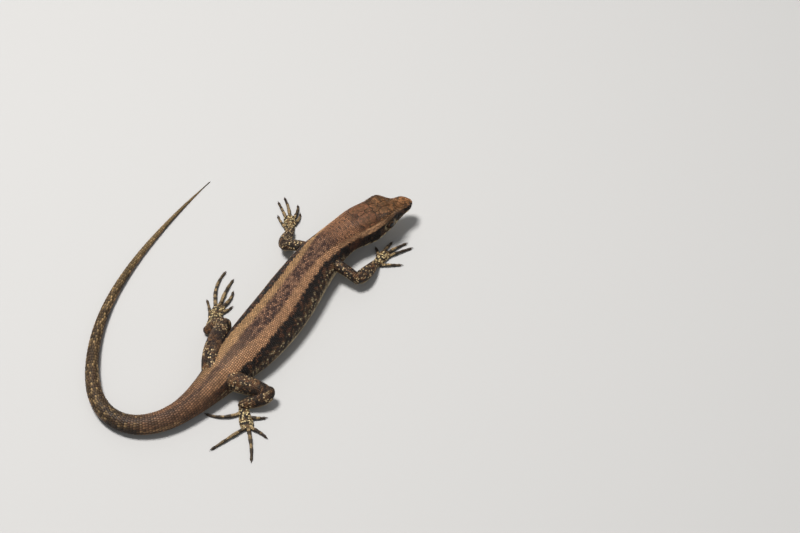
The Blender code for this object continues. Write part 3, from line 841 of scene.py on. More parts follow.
    def on_limb(self, kind: Part, tube: Tube, u: Array, v: Array, seed: int) -> Array:
        """Colour of a limb, palm or digit at (u, v).

        Args:
            kind: What part of a limb it is.
            tube: The limb's surface.
            u: Places along the surface, in millimetres.
            v: Places round it, in turns.
            seed: Number of the limb, for markings of its own.

        Returns:
            A colour for each place.
        """
        place = np.stack([u + 17.0 * seed, v * tube.girth(u)], axis=1)
        fine = noise(place, 0.3, 30)
        below = smoothstep(0.27, 0.34, np.abs(v))
        if kind in LONG_PARTS:
            ground = mix(srgb(36, 25, 18), srgb(84, 58, 38), noise(place, 1.1, 31))
            ground = ground * (0.55 if kind is Part.ARM else 0.8)
            ground = mix(ground, srgb(122, 80, 46), 0.6 * clouds(place, 1.6, 32, 0.55, 0.8))
            worm = smoothstep(0.22, 0.06, np.abs(noise(place, 0.7, 45) - 0.5) * 2)
            ground = mix(ground, srgb(128, 92, 60), 0.7 * worm)
            ground = mix(ground, BLACK_BROWN, 0.85 * clouds(place, 0.5, 33, 0.50, 0.62))
            few = smoothstep(0.35, 0.65, noise(place, 2.0, 46) + (0.35 if kind is Part.ARM else 0.0))
            spot = smoothstep(0.30, 0.16, spots(place, 0.6, 34) + 0.3 * (noise(place, 0.5, 43) - 0.5))
            colour = mix(ground, srgb(204, 176, 132), 0.85 * spot * few)
        elif kind is Part.PALM:
            ground = mix(srgb(112, 86, 54), srgb(36, 27, 19), clouds(place, 0.5, 35, 0.35, 0.55))
            spot = smoothstep(0.38, 0.26, spots(place, 0.66, 36) + 0.2 * (noise(place, 0.25, 44) - 0.5))
            colour = mix(ground, srgb(206, 184, 136), 0.95 * spot)
        else:
            band = clouds(place * (1.0, 0.15), 0.6, 37, 0.42, 0.60)
            colour = mix(TOE_TAN, srgb(46, 34, 24), 0.9 * band)
            # painted shade: the sides of each digit are nearly black
            colour = mix(colour, BLACK_BROWN, 0.9 * smoothstep(0.12, 0.22, np.abs(v)))
            colour = mix(colour, DARK_BROWN * 0.7, 0.85 * smoothstep(0.45, 1.0, u / tube.length))
        colour = colour * (0.82 + 0.36 * fine)[:, None]
        return mix(colour, BELLY * 0.8, below * (0.2 if kind is Part.DIGIT else 0.85))


# ---------------- meshes
def only(piece: bpy.types.Object) -> None:
    """Leave one object selected and active.

    Args:
        piece: The object.
    """
    bpy.ops.object.select_all(action="DESELECT")
    piece.select_set(True)
    bpy.context.view_layer.objects.active = piece


def corners(piece: bpy.types.Object) -> Array:
    """The mesh's points as rows of three.

    Args:
        piece: The object.

    Returns:
        Its points.
    """
    flat = np.empty(len(piece.data.vertices) * 3)
    piece.data.vertices.foreach_get("co", flat)
    return flat.reshape(-1, 3)


def set_corners(piece: bpy.types.Object, points: Array) -> None:
    """Move the mesh's points."""
    piece.data.vertices.foreach_set("co", points.astype(np.float32).ravel())
    piece.data.update()


def paint(piece: bpy.types.Object, colours: Array) -> None:
    """Store one colour for each point as the markings.

    Args:
        piece: The object.
        colours: A colour for each point.
    """
    layer = piece.data.color_attributes.new("markings", "FLOAT_COLOR", "POINT")
    rows = np.concatenate([colours, np.ones((len(colours), 1))], axis=1)
    layer.data.foreach_set("color", rows.astype(np.float32).ravel())


def store(piece: bpy.types.Object, label: str, values: Array) -> None:
    """Keep one number for each point under a name."""
    layer = piece.data.attributes.new(label, "FLOAT", "POINT")
    layer.data.foreach_set("value", values.astype(np.float32))


@contextmanager
def editing(piece: bpy.types.Object) -> Iterator[None]:
    """Edit one mesh, at first with all of it selected.

    Args:
        piece: The object.

    Yields:
        Nothing, inside the with block.
    """
    only(piece)
    bpy.ops.object.mode_set(mode="EDIT")
    bpy.ops.mesh.select_all(action="SELECT")
    yield
    bpy.ops.object.mode_set(mode="OBJECT")


def outward(piece: bpy.types.Object) -> None:
    """Face every face outward and shade the mesh smooth.

    Args:
        piece: The object.
    """
    with editing(piece):
        bpy.ops.mesh.normals_make_consistent(inside=False)
    bpy.ops.object.shade_smooth()


def report(piece: bpy.types.Object) -> None:
    """Log a finished piece."""
    LOG.info("%s: %d faces", piece.name, len(piece.data.polygons))


def on_sphere(unit: Array, rows: Array) -> tuple[Array, Array]:
    """The (u, v) that the points of a unit sphere stand for.

    Args:
        unit: Points of the sphere.
        rows: How many rows of them.

    Returns:
        Both, for each point.
    """
    polar = np.arccos(np.clip(unit[:, 2], -1, 1)) / math.pi
    u = np.interp(polar * (len(rows) - 1), np.arange(len(rows)), rows)
    return u, -np.arctan2(unit[:, 1], unit[:, 0]) / (2 * math.pi)


def discard(piece: bpy.types.Object) -> None:
    """Delete an object with its mesh.

    Args:
        piece: The object.
    """
    mesh = piece.data
    bpy.data.objects.remove(piece, do_unlink=True)
    bpy.data.meshes.remove(mesh)


def form(name: str, surface: Surface, rows: Array, around: int,
         lift: Callable | float) -> tuple[bpy.types.Object, Array, Array]:
    """A closed mesh drawn over a surface from a sphere.

    Args:
        name: Its name.
        surface: What it lies on.
        rows: The u of each of its rings, ends included.
        around: Points in each ring.
        lift: How far it stands off, in millimetres, or a function of u and v.

    Returns:
        The mesh, with its colours still to come, and the u and v of its points.
    """
    bpy.ops.mesh.primitive_uv_sphere_add(segments=around, ring_count=len(rows) - 1, radius=1.0)
    piece = bpy.context.object
    piece.name = name
    u, v = on_sphere(corners(piece), rows)
    off = lift(u, v) if callable(lift) else lift
    set_corners(piece, surface.at(u, v, off) * MM)
    outward(piece)
    return piece, u, v


@dataclass
class Template:
    """One scale modelled once: rows of (along, across, lift) and its triangles."""

    points: Array
    faces: Array

    @classmethod
    def take(cls, piece: bpy.types.Object) -> "Template":
        """Read a modelled scale and clear it away.

        Args:
            piece: The object.

        Returns:
            The template.
        """
        with editing(piece):
            bpy.ops.mesh.normals_make_consistent(inside=False)
            bpy.ops.mesh.quads_convert_to_tris(quad_method="BEAUTY", ngon_method="BEAUTY")
        faces = np.array([f.vertices[:] for f in piece.data.polygons])
        points = corners(piece)
        discard(piece)
        upward = points[faces][:, :, 2].max(axis=1)
        return cls(points, faces[np.argsort(upward, kind="stable")])


class Scales:
    """Makes the few kinds of scale, each modelled once and one unit long and wide."""

    HALF = 0.5
    FULLNESS = 0.62 * 0.3     # how far a bead's shoulders are pushed out
    PLATE_CORNER = 0.16
    PLATE_CUT = 0.2           # the cube is cut off this far under its middle
    REAR_POINT = 0.12

    @staticmethod
    def bead() -> Template:
        """A low dome with steep edges and a closed underside.

        Returns:
            The scale.
        """
        half = Scales.HALF
        bpy.ops.mesh.primitive_uv_sphere_add(segments=8, ring_count=6, radius=half)
        piece = bpy.context.object
        with editing(piece):
            bpy.ops.mesh.bisect(plane_co=(0, 0, 0.001), plane_no=(0, 0, 1), clear_inner=True, use_fill=True)
        points = corners(piece)
        radius = np.linalg.norm(points[:, :2], axis=1) / half
        points[:, :2] *= (1 + Scales.FULLNESS * (radius[:, None] > 0.05) * (1 - radius[:, None]))
        points[:, 2] = np.clip(points[:, 2] / half, 0, 1)
        set_corners(piece, points)
        return Template.take(piece)

    @staticmethod
    def plate(keel: float, taper: float, slope: float) -> Template:
        """A flat scale, rounded at its corners, that may rise to its rear, narrow and carry a keel.

        Args:
            keel: Height of the ridge along its middle, as a share of the whole.
            taper: How much narrower its rear is.
            slope: How much lower its front is.

        Returns:
            The scale.
        """
        bpy.ops.mesh.primitive_cube_add(size=1.0)
        piece = bpy.context.object
        cut = Scales.PLATE_CUT
        with editing(piece):
            bpy.ops.mesh.bevel(offset=Scales.PLATE_CORNER, segments=1, affect="EDGES")
            bpy.ops.mesh.select_all(action="SELECT")
            bpy.ops.mesh.bisect(plane_co=(0, 0, 0), plane_no=(0, 1, 0))
            bpy.ops.mesh.select_all(action="SELECT")
            bpy.ops.mesh.bisect(plane_co=(0, 0, -cut), plane_no=(0, 0, 1), clear_inner=True, use_fill=True)
        points = corners(piece)
        points[:, 2] = np.clip((points[:, 2] + cut) / (cut + Scales.HALF), 0, 1)
        rear = points[:, 0] + Scales.HALF
        points[:, 1] *= 1 - taper * rear ** 2
        middle = np.abs(points[:, 1]) < 0.01
        top = points[:, 2] > 0.5
        points[:, 2] *= 1 - slope * (1 - rear) - keel * ~(middle & top)
        points[:, 0] += Scales.REAR_POINT * taper * middle * (rear > 0.7)
        set_corners(piece, points)
        return Template.take(piece)

    @staticmethod
    def disc(around: int, rings: Sequence[float]) -> Template:
        """A stepped disc with a closed underside, whose lift counts its rings from the rim.

        Args:
            around: Points in each ring.
            rings: Radius of each ring, from 1 at the rim.

        Returns:
            The disc, two units across.
        """
        bpy.ops.mesh.primitive_circle_add(vertices=around, radius=1.0, fill_type="NGON")
        piece = bpy.context.object
        step = {"value": (0, 0, 1.0)}
        with editing(piece):
            bpy.ops.mesh.extrude_region_move(TRANSFORM_OT_translate=step)
            for radius, inner in zip(rings, rings[1:]):
                ratio = inner / radius
                bpy.ops.mesh.extrude_region_move(TRANSFORM_OT_translate=step)
                bpy.ops.transform.resize(value=(ratio, ratio, 1.0), center_override=(0, 0, 0))
            bpy.ops.mesh.poke()
        return Template.take(piece)


class Coat:
    """Gathers scales and joins them into pieces."""

    LIMIT = 195_000

    def __init__(self, name: str, slot: str) -> None:
        """Start an empty coat.

        Args:
            name: Start of its pieces' names.
            slot: The solids' material; not used.
        """
        self.name = name
        self.slot = slot
        self.blocks: list[tuple[Array, ...]] = []

    def stamp(self, kind: Template, surface: Surface, u: Array, v: Array, size: Sequence[Array | float],
              colours: Array, lifts: tuple[float, float], patches: Array) -> None:
        """Lay one kind of scale at many places.

        Args:
            kind: The scale.
            surface: What it lies on.
            u: The u of each centre.
            v: The v of each.
            size: Length and width, each one number or one for every scale.
            colours: Colour of each.
            lifts: Height of the foot and of the crown.
            patches: Place of each on the baking map, from 0 to 1.
        """
        if not len(u):
            return
        count, each = len(u), len(kind.points)
        length, width = (np.broadcast_to(s, (count,)) for s in size)
        along = u[:, None] + kind.points[None, :, 0] * length[:, None]
        across = v[:, None] + kind.points[None, :, 1] * (width / surface.girth(u))[:, None]
        foot, crown = lifts
        lift = foot + (crown - foot) * np.broadcast_to(kind.points[None, :, 2], along.shape)
        points = surface.at(along.ravel(), across.ravel(), lift.ravel()) * MM
        self.add(points.reshape(count, each, 3), kind.faces, colours[:, None].repeat(each, axis=1),
                 kind.points[None, :, 2].repeat(count, axis=0),
                 patches[:, None] + kind.points[None, :, :2] * PATCH)

    def add(self, points: Array, faces: Array, colours: Array, relief: Array, marks: Array) -> None:
        """Add finished scales, one block of rows for each.

        Args:
            points: Corners of each scale, in metres.
            faces: Corner numbers of one scale.
            colours: A colour for each corner.
            relief: Height of each corner, from 0 to 1.
            marks: Place of each scale on the map.
        """
        count = len(points)
        tone = np.random.default_rng(SEED + len(self.blocks)).random(count)
        tones = tone[:, None].repeat(points.shape[1], axis=1)
        self.blocks.append((faces, points, colours, marks, relief, tones))

    def build(self, finish: bpy.types.Material) -> None:
        """Join the scales into as few pieces as the limit allows.

        Args:
            finish: The material.
        """
        groups: list[list] = [[]]
        room = self.LIMIT
        for block in self.blocks:
            start, count, faces = 0, len(block[1]), len(block[0])
            while start < count:
                fits = min(count - start, room // faces)
                if fits <= 0:
                    groups.append([])
                    room = self.LIMIT
                    continue
                groups[-1].append((block, start, start + fits))
                room -= fits * faces
                start += fits
        for number, group in enumerate((g for g in groups if g), start=1):
            self.join(f"{self.name}_{number}", group, finish)

    def join(self, name: str, group: list, finish: bpy.types.Material) -> None:
        """Make one mesh from a run of scales.

        Args:
            name: Its name.
            group: The blocks that it takes.
            finish: The material.
        """
        faces: list[Array] = []
        rows: list[list[Array]] = [[] for _ in range(5)]
        base = 0
        for block, start, stop in group:
            count, each = stop - start, block[1].shape[1]
            for kept, values in zip(rows, block[1:]):
                kept.append(values[start:stop].reshape(count * each, -1))
            offsets = base + each * np.arange(count)
            faces.append((block[0][None] + offsets[:, None, None]).reshape(-1, 3))
            base += count * each
        points, colours, marks, relief, tones = (np.concatenate(r) for r in rows)
        mesh = bpy.data.meshes.new(name)
        corner = np.concatenate(faces).astype(np.int32)
        mesh.vertices.add(len(points))
        mesh.vertices.foreach_set("co", points.astype(np.float32).ravel())
        mesh.loops.add(corner.size)
        mesh.loops.foreach_set("vertex_index", corner.ravel())
        mesh.polygons.add(len(corner))
        mesh.polygons.foreach_set("loop_start", np.arange(0, corner.size, 3, dtype=np.int32))
        mesh.update(calc_edges=True)
        piece = bpy.data.objects.new(name, mesh)
        bpy.context.scene.collection.objects.link(piece)
        paint(piece, colours)
        store(piece, "relief", relief.ravel())
        store(piece, "tone", tones.ravel())
        uv = mesh.uv_layers.new(name=BAKE_MAP)
        spread = np.clip(marks[corner.ravel()], 0.0, 1.0)
        uv.data.foreach_set("uv", spread.astype(np.float32).ravel())
        mesh.validate()
        only(piece)
        bpy.ops.object.shade_smooth()
        mesh.materials.append(finish)
        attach(piece, ROOT)
        report(piece)


# ---------------- finishes
Socket = bpy.types.NodeSocket
Range = tuple[float, float]


@dataclass
class Nodes:
    """A new material whose nodes are added and joined in a few words."""

    name: str

    def __post_init__(self) -> None:
        """Start from a plain Principled material."""
        self.material = bpy.data.materials.new(self.name)
        self.material.use_nodes = True
        self.tree = self.material.node_tree
        self.shader = self.tree.nodes["Principled BSDF"]

    def join(self, source: Socket, socket: Socket) -> None:
        """Join an output to an input."""
        self.tree.links.new(source, socket)

    def attribute(self, name: str) -> bpy.types.Node:
        """Read one of the mesh's own attributes.

        Args:
            name: The attribute's name.

        Returns:
            The node.
        """
        node = self.tree.nodes.new("ShaderNodeAttribute")
        node.attribute_name = name
        return node

    def grain(self, scale: float, detail: float = 2.0) -> Socket:
        """Fine noise that is fixed to the mesh.

        Args:
            scale: How many grains to a metre.
            detail: Octaves.

        Returns:
            Its output.
        """
        place = self.tree.nodes.new("ShaderNodeTexCoord")
        node = self.tree.nodes.new("ShaderNodeTexNoise")
        node.inputs["Scale"].default_value = scale
        node.inputs["Detail"].default_value = detail
        self.join(place.outputs["Object"], node.inputs["Vector"])
        return node.outputs["Fac"]

    def spread(self, source: Socket, read: Range, given: Range) -> Socket:
        """Map a range of a value on to another range.

        Args:
            source: The value.
            read: Its range.
            given: The range that comes out.

        Returns:
            The value in the new range.
        """
        node = self.tree.nodes.new("ShaderNodeMapRange")
        for socket, value in zip(("From Min", "From Max", "To Min", "To Max"), (*read, *given)):
            node.inputs[socket].default_value = value
        self.join(source, node.inputs["Value"])
        return node.outputs["Result"]

    def scaled(self, colour: Socket, factor: Socket) -> Socket:
        """Multiply a colour by a factor.

        Args:
            colour: The colour.
            factor: The factor.

        Returns:
            The product.
        """
        node = self.tree.nodes.new("ShaderNodeVectorMath")
        node.operation = "SCALE"
        self.join(colour, node.inputs[0])
        self.join(factor, node.inputs["Scale"])
        return node.outputs["Vector"]

    def ramp(self, source: Socket, stops: Sequence[tuple[float, Array]]) -> Socket:
        """Turn a value into a colour between stops.

        Args:
            source: The value, from 0 to 1.
            stops: Values and their colours.

        Returns:
            The colour.
        """
        node = self.tree.nodes.new("ShaderNodeValToRGB")
        for number, (position, colour) in enumerate(stops):
            made = node.color_ramp.elements
            element = made[number] if number < 2 else made.new(position)
            element.position = position
            element.color = (*colour, 1.0)
        self.join(source, node.inputs["Fac"])
        return node.outputs["Color"]

    def set(self, **values: float) -> None:
        """Set the shader's own constants, with underlines for spaces in their names."""
        for name, value in values.items():
            self.shader.inputs[name.replace("_", " ")].default_value = value


@dataclass(frozen=True)
class Finish:
    """Scales or skin, coloured by the markings, with painted shade that darkens their low parts towards the
    grooves.
    """

    name: str
    roughness: float = 0.42
    roughness_spread: float = 0.10
    relief: Range = (0.35, 0.95)
    # painted shade: how much darker the lowest relief is than the top
    groove_shade: float = 0.72
    tone: float = 0.32
    grain: float = 3600.0
    grain_detail: float = 3.0
    grain_range: Range = (0.3, 0.7)
    grain_strength: float = 0.10
    bump: float = 0.00002
    bump_strength: float = 0.5
    specular: float = 0.26

    def build(self) -> bpy.types.Material:
        """Make the material.

        Returns:
            The material.
        """
        made = Nodes(self.name)
        colour = made.attribute("markings").outputs["Color"]
        # painted shade in the grooves: low relief darkens the colour, the top keeps it
        relief = made.spread(made.attribute("relief").outputs["Fac"], self.relief, (1 - self.groove_shade, 1.0))
        tone = made.spread(made.attribute("tone").outputs["Fac"], (0.0, 1.0),
                           (1 - self.tone, 1 + self.tone))
        grain = made.grain(self.grain, self.grain_detail)
        grained = made.spread(grain, self.grain_range, (1 - self.grain_strength, 1 + self.grain_strength))
        for factor in (relief, tone, grained):
            colour = made.scaled(colour, factor)
        made.join(colour, made.shader.inputs["Base Color"])
        least, most = (self.roughness + sign * self.roughness_spread for sign in (-1, 1))
        rough = made.spread(grain, self.grain_range, (least, most))
        made.join(rough, made.shader.inputs["Roughness"])
        made.set(Specular_IOR_Level=self.specular)
        bump = made.tree.nodes.new("ShaderNodeBump")
        bump.inputs["Strength"].default_value = self.bump_strength
        bump.inputs["Distance"].default_value = self.bump
        made.join(grain, bump.inputs["Height"])
        made.join(bump.outputs["Normal"], made.shader.inputs["Normal"])
        return made.material


@dataclass(frozen=True)
class EyeFinish:
    """Black pupil, thin gold ring and dark iris, under a wet surface."""

    name: str
    rays: float = 5200.0
    blur: float = 8.0         # how many degrees the rays move the ring's edge
    widest: float = 90.0
    stops: tuple = (
        (0.0, (5, 4, 4)), (0.31, (6, 5, 5)), (0.325, (128, 86, 40)), (0.35, (56, 36, 20)),
        (0.52, (40, 25, 15)), (0.62, (16, 11, 8)),
    )

    def build(self) -> bpy.types.Material:
        """Make the material.

        Returns:
            The material.
        """
        made = Nodes(self.name)
        blur = made.tree.nodes.new("ShaderNodeMath")
        blur.operation = "MULTIPLY_ADD"
        blur.inputs[1].default_value = self.blur
        made.join(made.grain(self.rays), blur.inputs[0])
        made.join(made.attribute("from_axis").outputs["Fac"], blur.inputs[2])
        share = made.spread(blur.outputs["Value"], (0.0, self.widest), (0.0, 1.0))
        colour = made.ramp(share, [(position, srgb(*rgb)) for position, rgb in self.stops])
        made.join(colour, made.shader.inputs["Base Color"])
        made.set(Roughness=0.22, Specular_IOR_Level=0.1, Coat_Weight=0.35, Coat_Roughness=0.05)
        return made.material


@dataclass(frozen=True)
class Horn:
    """Smooth dark horn."""

    name: str = "claw"
    grain: float = 5000.0
    roughness: float = 0.3

    def build(self) -> bpy.types.Material:
        """Make the material.

        Returns:
            The material.
        """
        made = Nodes(self.name)
        colour = made.ramp(made.grain(self.grain), ((0.0, srgb(34, 25, 19)), (1.0, srgb(74, 57, 42))))
        made.join(colour, made.shader.inputs["Base Color"])
        made.set(Roughness=self.roughness)
        return made.material


# ---------------- skin
@dataclass
class Skin:
    """The one skin under all the scales."""

    body: Body
    limbs: Limbs
    markings: Markings
    body_depth: float = 0.10
    limb_grid: tuple[float, int, int] = (0.08, 26, 24)       # depth, rows and columns
    digit_grid: tuple[float, int, int] = (0.05, 30, 16)
    thinning: Table = ((120.0, 0.0), (150.0, 0.05))   # the tail's skin comes nearer to the outline
    # painted shade: the skin shows only between the scales and is darkened to this share of the markings
    shade: float = 0.30
    around: int = 80
    cap_rows: int = 5
    runs: Table = (           # first station, end and step of the rows
        (0.0, 16.0, 0.2), (16.0, 80.0, 0.32), (80.0, 156.01, 0.4),
    )

    def depth(self, u: Array, v: Array) -> Array:
        """How far the skin lies inside the outline, deeper round the eye and in the ear.

        Args:
            u: Places along the surface, in millimetres.
            v: Places round it, in turns.

        Returns:
            Lift of each point, negative inside.
        """
        (start, _), (end, thinner) = self.thinning
        off = np.full(len(u), -self.body_depth)
        off = off + thinner * smoothstep(start, end, u)
        height = self.body.at(u, v, 0.0)[:, 2]
        ear = np.hypot((u - EAR_STATION) / (EAR_RADII[0] * HOLLOW_REACH[0]),
                       (height - EAR_HEIGHT) / (EAR_RADII[1] * HOLLOW_REACH[1]))
        eye = np.hypot((u - EYE_STATION) / LID_REACH[0], (height - EYE_HEIGHT) / LID_REACH[1])
        off = off - EYE_SOCKET * smoothstep(1.0, 0.7, eye)
        return off - EAR_HOLLOW * smoothstep(1.05, 0.75, ear)

    def build(self) -> None:
        """Draw every form, unite them and colour the skin from the form that each point came from."""
        cap = -SNOUT_CAP * np.cos(np.linspace(0.0, math.pi / 2, self.cap_rows + 1))[:-1]
        rows = np.concatenate([cap, *(np.arange(*run) for run in self.runs)])
        skin, u, v = form("skin", self.body, rows, self.around, self.depth)
        known = [(corners(skin), self.markings.on_body(self.body, u, v))]
        parts = []
        for number, (name, (kind, tube)) in enumerate(self.limbs.tubes.items()):
            depth, count, around = self.digit_grid if kind is Part.DIGIT else self.limb_grid
            steps = np.linspace(tube.along[0], tube.along[-1], count)
            part, u, v = form(name, tube, steps, around, -depth)
            known.append((corners(part), self.markings.on_limb(kind, tube, u, v, number)))
            parts.append(part)
        for part in parts:
            self.unite(skin, part)
        places, colours = (np.concatenate(column) for column in zip(*known))
        tree = KDTree(len(places))
        for index, point in enumerate(places):
            tree.insert(point, index)
        tree.balance()
        nearest = [tree.find(point)[1] for point in corners(skin)]
        # painted shade between the scales
        paint(skin, colours[nearest] * self.shade)
        store(skin, "relief", np.full(len(nearest), 1.0))
        store(skin, "tone", np.full(len(nearest), 0.5))
        outward(skin)
        skin.data.materials.clear()
        skin.data.materials.append(Finish("skin", roughness=0.55).build())
        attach(skin, ROOT)
        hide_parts(*FLESH_NODES)
        report(skin)

    @staticmethod
    def unite(skin: bpy.types.Object, part: bpy.types.Object) -> None:
        """Join a limb to the skin without a seam, and clear it away.

        Args:
            skin: What it is joined to.
            part: The limb.
        """
        only(skin)
        union = skin.modifiers.new("join", "BOOLEAN")
        union.operation = "UNION"
        union.solver = "EXACT"
        union.object = part
        bpy.ops.object.modifier_apply(modifier=union.name)
        discard(part)


# ---------------- scales of body and limbs
PITCHES = (               # station, length of a scale along the back
    (14, 0.30), (24, 0.34), (44, 0.38), (58, 0.44), (66, 0.50), (76, 0.52), (81, 0.54), (87, 0.62),
    (95, 0.72), (120, 0.80), (150, 0.66), (156, 0.6),
)
NECK_END = 20
NECK_BEAD_WIDTH, BEAD_WIDTH = 0.36, 0.42
BELLY_EDGE = 0.375
BELLY_SPAN = (22.0, 61.0)
BELLY_COLUMNS = (0.376, 0.415, 0.457, 0.5)      # edges of the three columns on each side
BELLY_PLATE = (1.45, 1.52, 0.985)               # pitch, length and share of the column's width
COAT_START, TAIL_SCALES_START, TAIL_SCALES_END = 13.9, 60.0, 155.6
TAIL_WIDTHS = ((66, 74, 90, 150), (0.46, 0.5, 0.55, 0.42))
BEAD_LIFTS, BELLY_LIFTS, TAIL_LIFTS = (-0.16, 0.0), (-0.14, 0.0), (-0.15, 0.0)
BACK_MAP, BELLY_MAP, TAIL_MAP = (13.5, 67.5), (20.0, 67.0), (59.5, 156.5)    # stations a map spans
MAP_MARGIN, MAP_ROUND = 0.01, 0.97
LIMB_SCALES = {           # pitch, width and foot of the scales
    Part.ARM: (0.34, 0.36, -0.14), Part.LEG: (0.34, 0.36, -0.14),
    Part.PALM: (0.29, 0.31, -0.12), Part.DIGIT: (0.34, 0.30, -0.09),
}


def stations(start: float, stop: float) -> Array:
    """Centres of the rows of scales from one station to another.

    Args:
        start: Place of the first row.
        stop: End of the last row.

    Returns:
        Station of each row.
    """
    found = [start]
    while found[-1] < stop:
        found.append(found[-1] + float(smooth_table(PITCHES, np.array([found[-1]]))[0, 0]))
    return np.array(found[:-1])


def all_round(_: float) -> float:
    """The reach of a row that goes all the way round."""
    return 0.5


def staggered(rows: Array, counts: Callable[[float], int],
              edge: Callable[[float], float] = all_round) -> tuple[Array, Array, Array]:
    """Centres of scales in rows, every second row shifted by half a scale.

    Args:
        rows: The u of each row.
        counts: How many scales a row has, for a station.
        edge: How far from the top the row reaches, in turns, for a station.

    Returns:
        The u and v of each scale, and its width in turns.
    """
    us, vs, widths = [], [], []
    for index, u in enumerate(rows):
        count, reach = counts(u), edge(u)
        pitch = 2 * reach / count
        centres = -reach + pitch * (np.arange(count) + (0.5 if index % 2 else 0.0))
        us.append(np.full(count, u))
        vs.append(centres)
        widths.append(np.full(count, pitch))
    return np.concatenate(us), np.concatenate(vs), np.concatenate(widths)


def on_map(u: Array, v: Array, low: float, high: float) -> Array:
    """Place of each scale on its piece's baking map."""
    across = 0.5 + MAP_ROUND * ((v + 0.5) % 1.0 - 0.5)
    return np.stack([MAP_MARGIN + (1 - 2 * MAP_MARGIN) * (u - low) / (high - low), across], axis=1)


@dataclass
class BodyCoat:
    """Beads of the back, throat and flanks, belly plates and the keeled whorls of the tail."""

    body: Body
    limbs: Limbs
    markings: Markings
    bead_size: Range = (1.08, 0.98)       # shares of the pitch
    tail_size: Range = (0.98, 0.95)
    head_edge: float = 14.15
    parting: Range = (40.0, 40.05)        # where back_scales end and loin_scales begin
    bead: Template = field(default_factory=Scales.bead)

    def clear(self, points: Array) -> Array:
        """Whether each point is outside every limb.

        Args:
            points: Points in millimetres.

        Returns:
            Yes or no for each.
        """
        free = np.ones(len(points), dtype=bool)
        for kind, tube in self.limbs.tubes.values():
            if kind in LONG_PARTS:
                free &= ~tube.holds(points)
        return free

    def lay(self, coat: Coat, kind: Template, u: Array, v: Array, size: tuple, lifts: Range,
            span: Range) -> None:
        """Stamp the scales that are outside the limbs.

        Args:
            coat: The coat that takes them.
            kind: Shape of the scales.
            u: Places along the surface, in millimetres.
            v: Places round it, in turns.
            size: Length and width of each.
            lifts: Lift of the foot and the top.
            span: Stations that the map spans.
        """
        keep = self.clear(self.body.at(u, v, 0.0))
        length, width = (np.broadcast_to(s, u.shape)[keep] for s in size)
        u, v = u[keep], v[keep]
        coat.stamp(kind, self.body, u, v, (length, width), self.markings.on_body(self.body, u, v), lifts,
                   on_map(u, v, *span))

    def round_at(self, u: float) -> float:
        """The length once round the body at one station."""
        return float(self.body.girth(np.array([u]))[0])

    def build(self) -> None:
        """Cover the body behind the head shields."""
        back = Finish("back_scales").build()
        for name, span in (("back_scales", (COAT_START, self.parting[0])),
                           ("loin_scales", (self.parting[1], TAIL_SCALES_START))):
            coat = Coat(name, "back_scales")
            self.beads(coat, stations(*span))
            coat.build(back)
        self.belly(back)
        self.tail()

    @staticmethod
    def edge(u: float) -> float:
        """How far down the beads reach, in turns: to the belly plates, or all the way."""
        return BELLY_EDGE if BELLY_SPAN[0] - 1.0 < u < BELLY_SPAN[1] else 0.5

    def beads_in_row(self, u: float) -> int:
        """How many beads a row has at one station."""
        width = BEAD_WIDTH if u > NECK_END else NECK_BEAD_WIDTH
        return int(round(self.round_at(u) * 2 * self.edge(u) / width))

    def beads(self, coat: Coat, rows: Array) -> None:
        """Lay rows of beads over the back and flanks.

        Args:
            coat: The coat that takes them.
            rows: Station of each row.
        """
        u, v, width = staggered(rows, self.beads_in_row, self.edge)
        keep = u > self.head_edge
        u, v, width = u[keep], v[keep], width[keep]
        length = smooth_table(PITCHES, u)[:, 0] * self.bead_size[0]
        size = (length, width * self.body.girth(u) * self.bead_size[1])
        self.lay(coat, self.bead, u, v, size, BEAD_LIFTS, BACK_MAP)

    def belly(self, finish: bpy.types.Material) -> None:
        """Lay six columns of broad plates under the trunk.

        Args:
            finish: The material.
        """
        pitch, length, share = BELLY_PLATE
        rows = np.arange(*BELLY_SPAN, pitch)
        u, v, width = [], [], []
        edges = np.array(BELLY_COLUMNS)
        for inner, outer in zip(edges, edges[1:]):
            for side in (-1, 1):
                u.append(rows)
                v.append(np.full(len(rows), side * (inner + outer) / 2))
                width.append(np.full(len(rows), outer - inner))
        u, v, width = (np.concatenate(c) for c in (u, v, width))
        coat = Coat("belly_plates", "back_scales")
        size = (length, width * self.body.girth(u) * share)
        flat = Scales.plate(keel=0.0, taper=0.0, slope=0.35)
        self.lay(coat, flat, u, v, size, BELLY_LIFTS, BELLY_MAP)
        coat.build(finish)

    def keels_in_row(self, u: float) -> int:
        """How many scales a whorl of the tail has at one station."""
        return max(7, int(round(self.round_at(u) / float(np.interp(u, *TAIL_WIDTHS)))))

    def tail(self) -> None:
        """Lay whorls of narrow keeled scales."""
        keeled = Scales.plate(keel=0.22, taper=0.14, slope=0.40)
        u, v, width = staggered(stations(TAIL_SCALES_START + 0.1, TAIL_SCALES_END), self.keels_in_row)
        length = smooth_table(PITCHES, u)[:, 0] * self.tail_size[0]
        coat = Coat("tail_scales", "tail_scales")
        size = (length, width * self.body.girth(u) * self.tail_size[1])
        self.lay(coat, keeled, u, v, size, TAIL_LIFTS, TAIL_MAP)
        coat.build(Finish("tail_scales", roughness=0.5, specular=0.2, relief=(0.5, 0.95),
                          grain_strength=0.16).build())


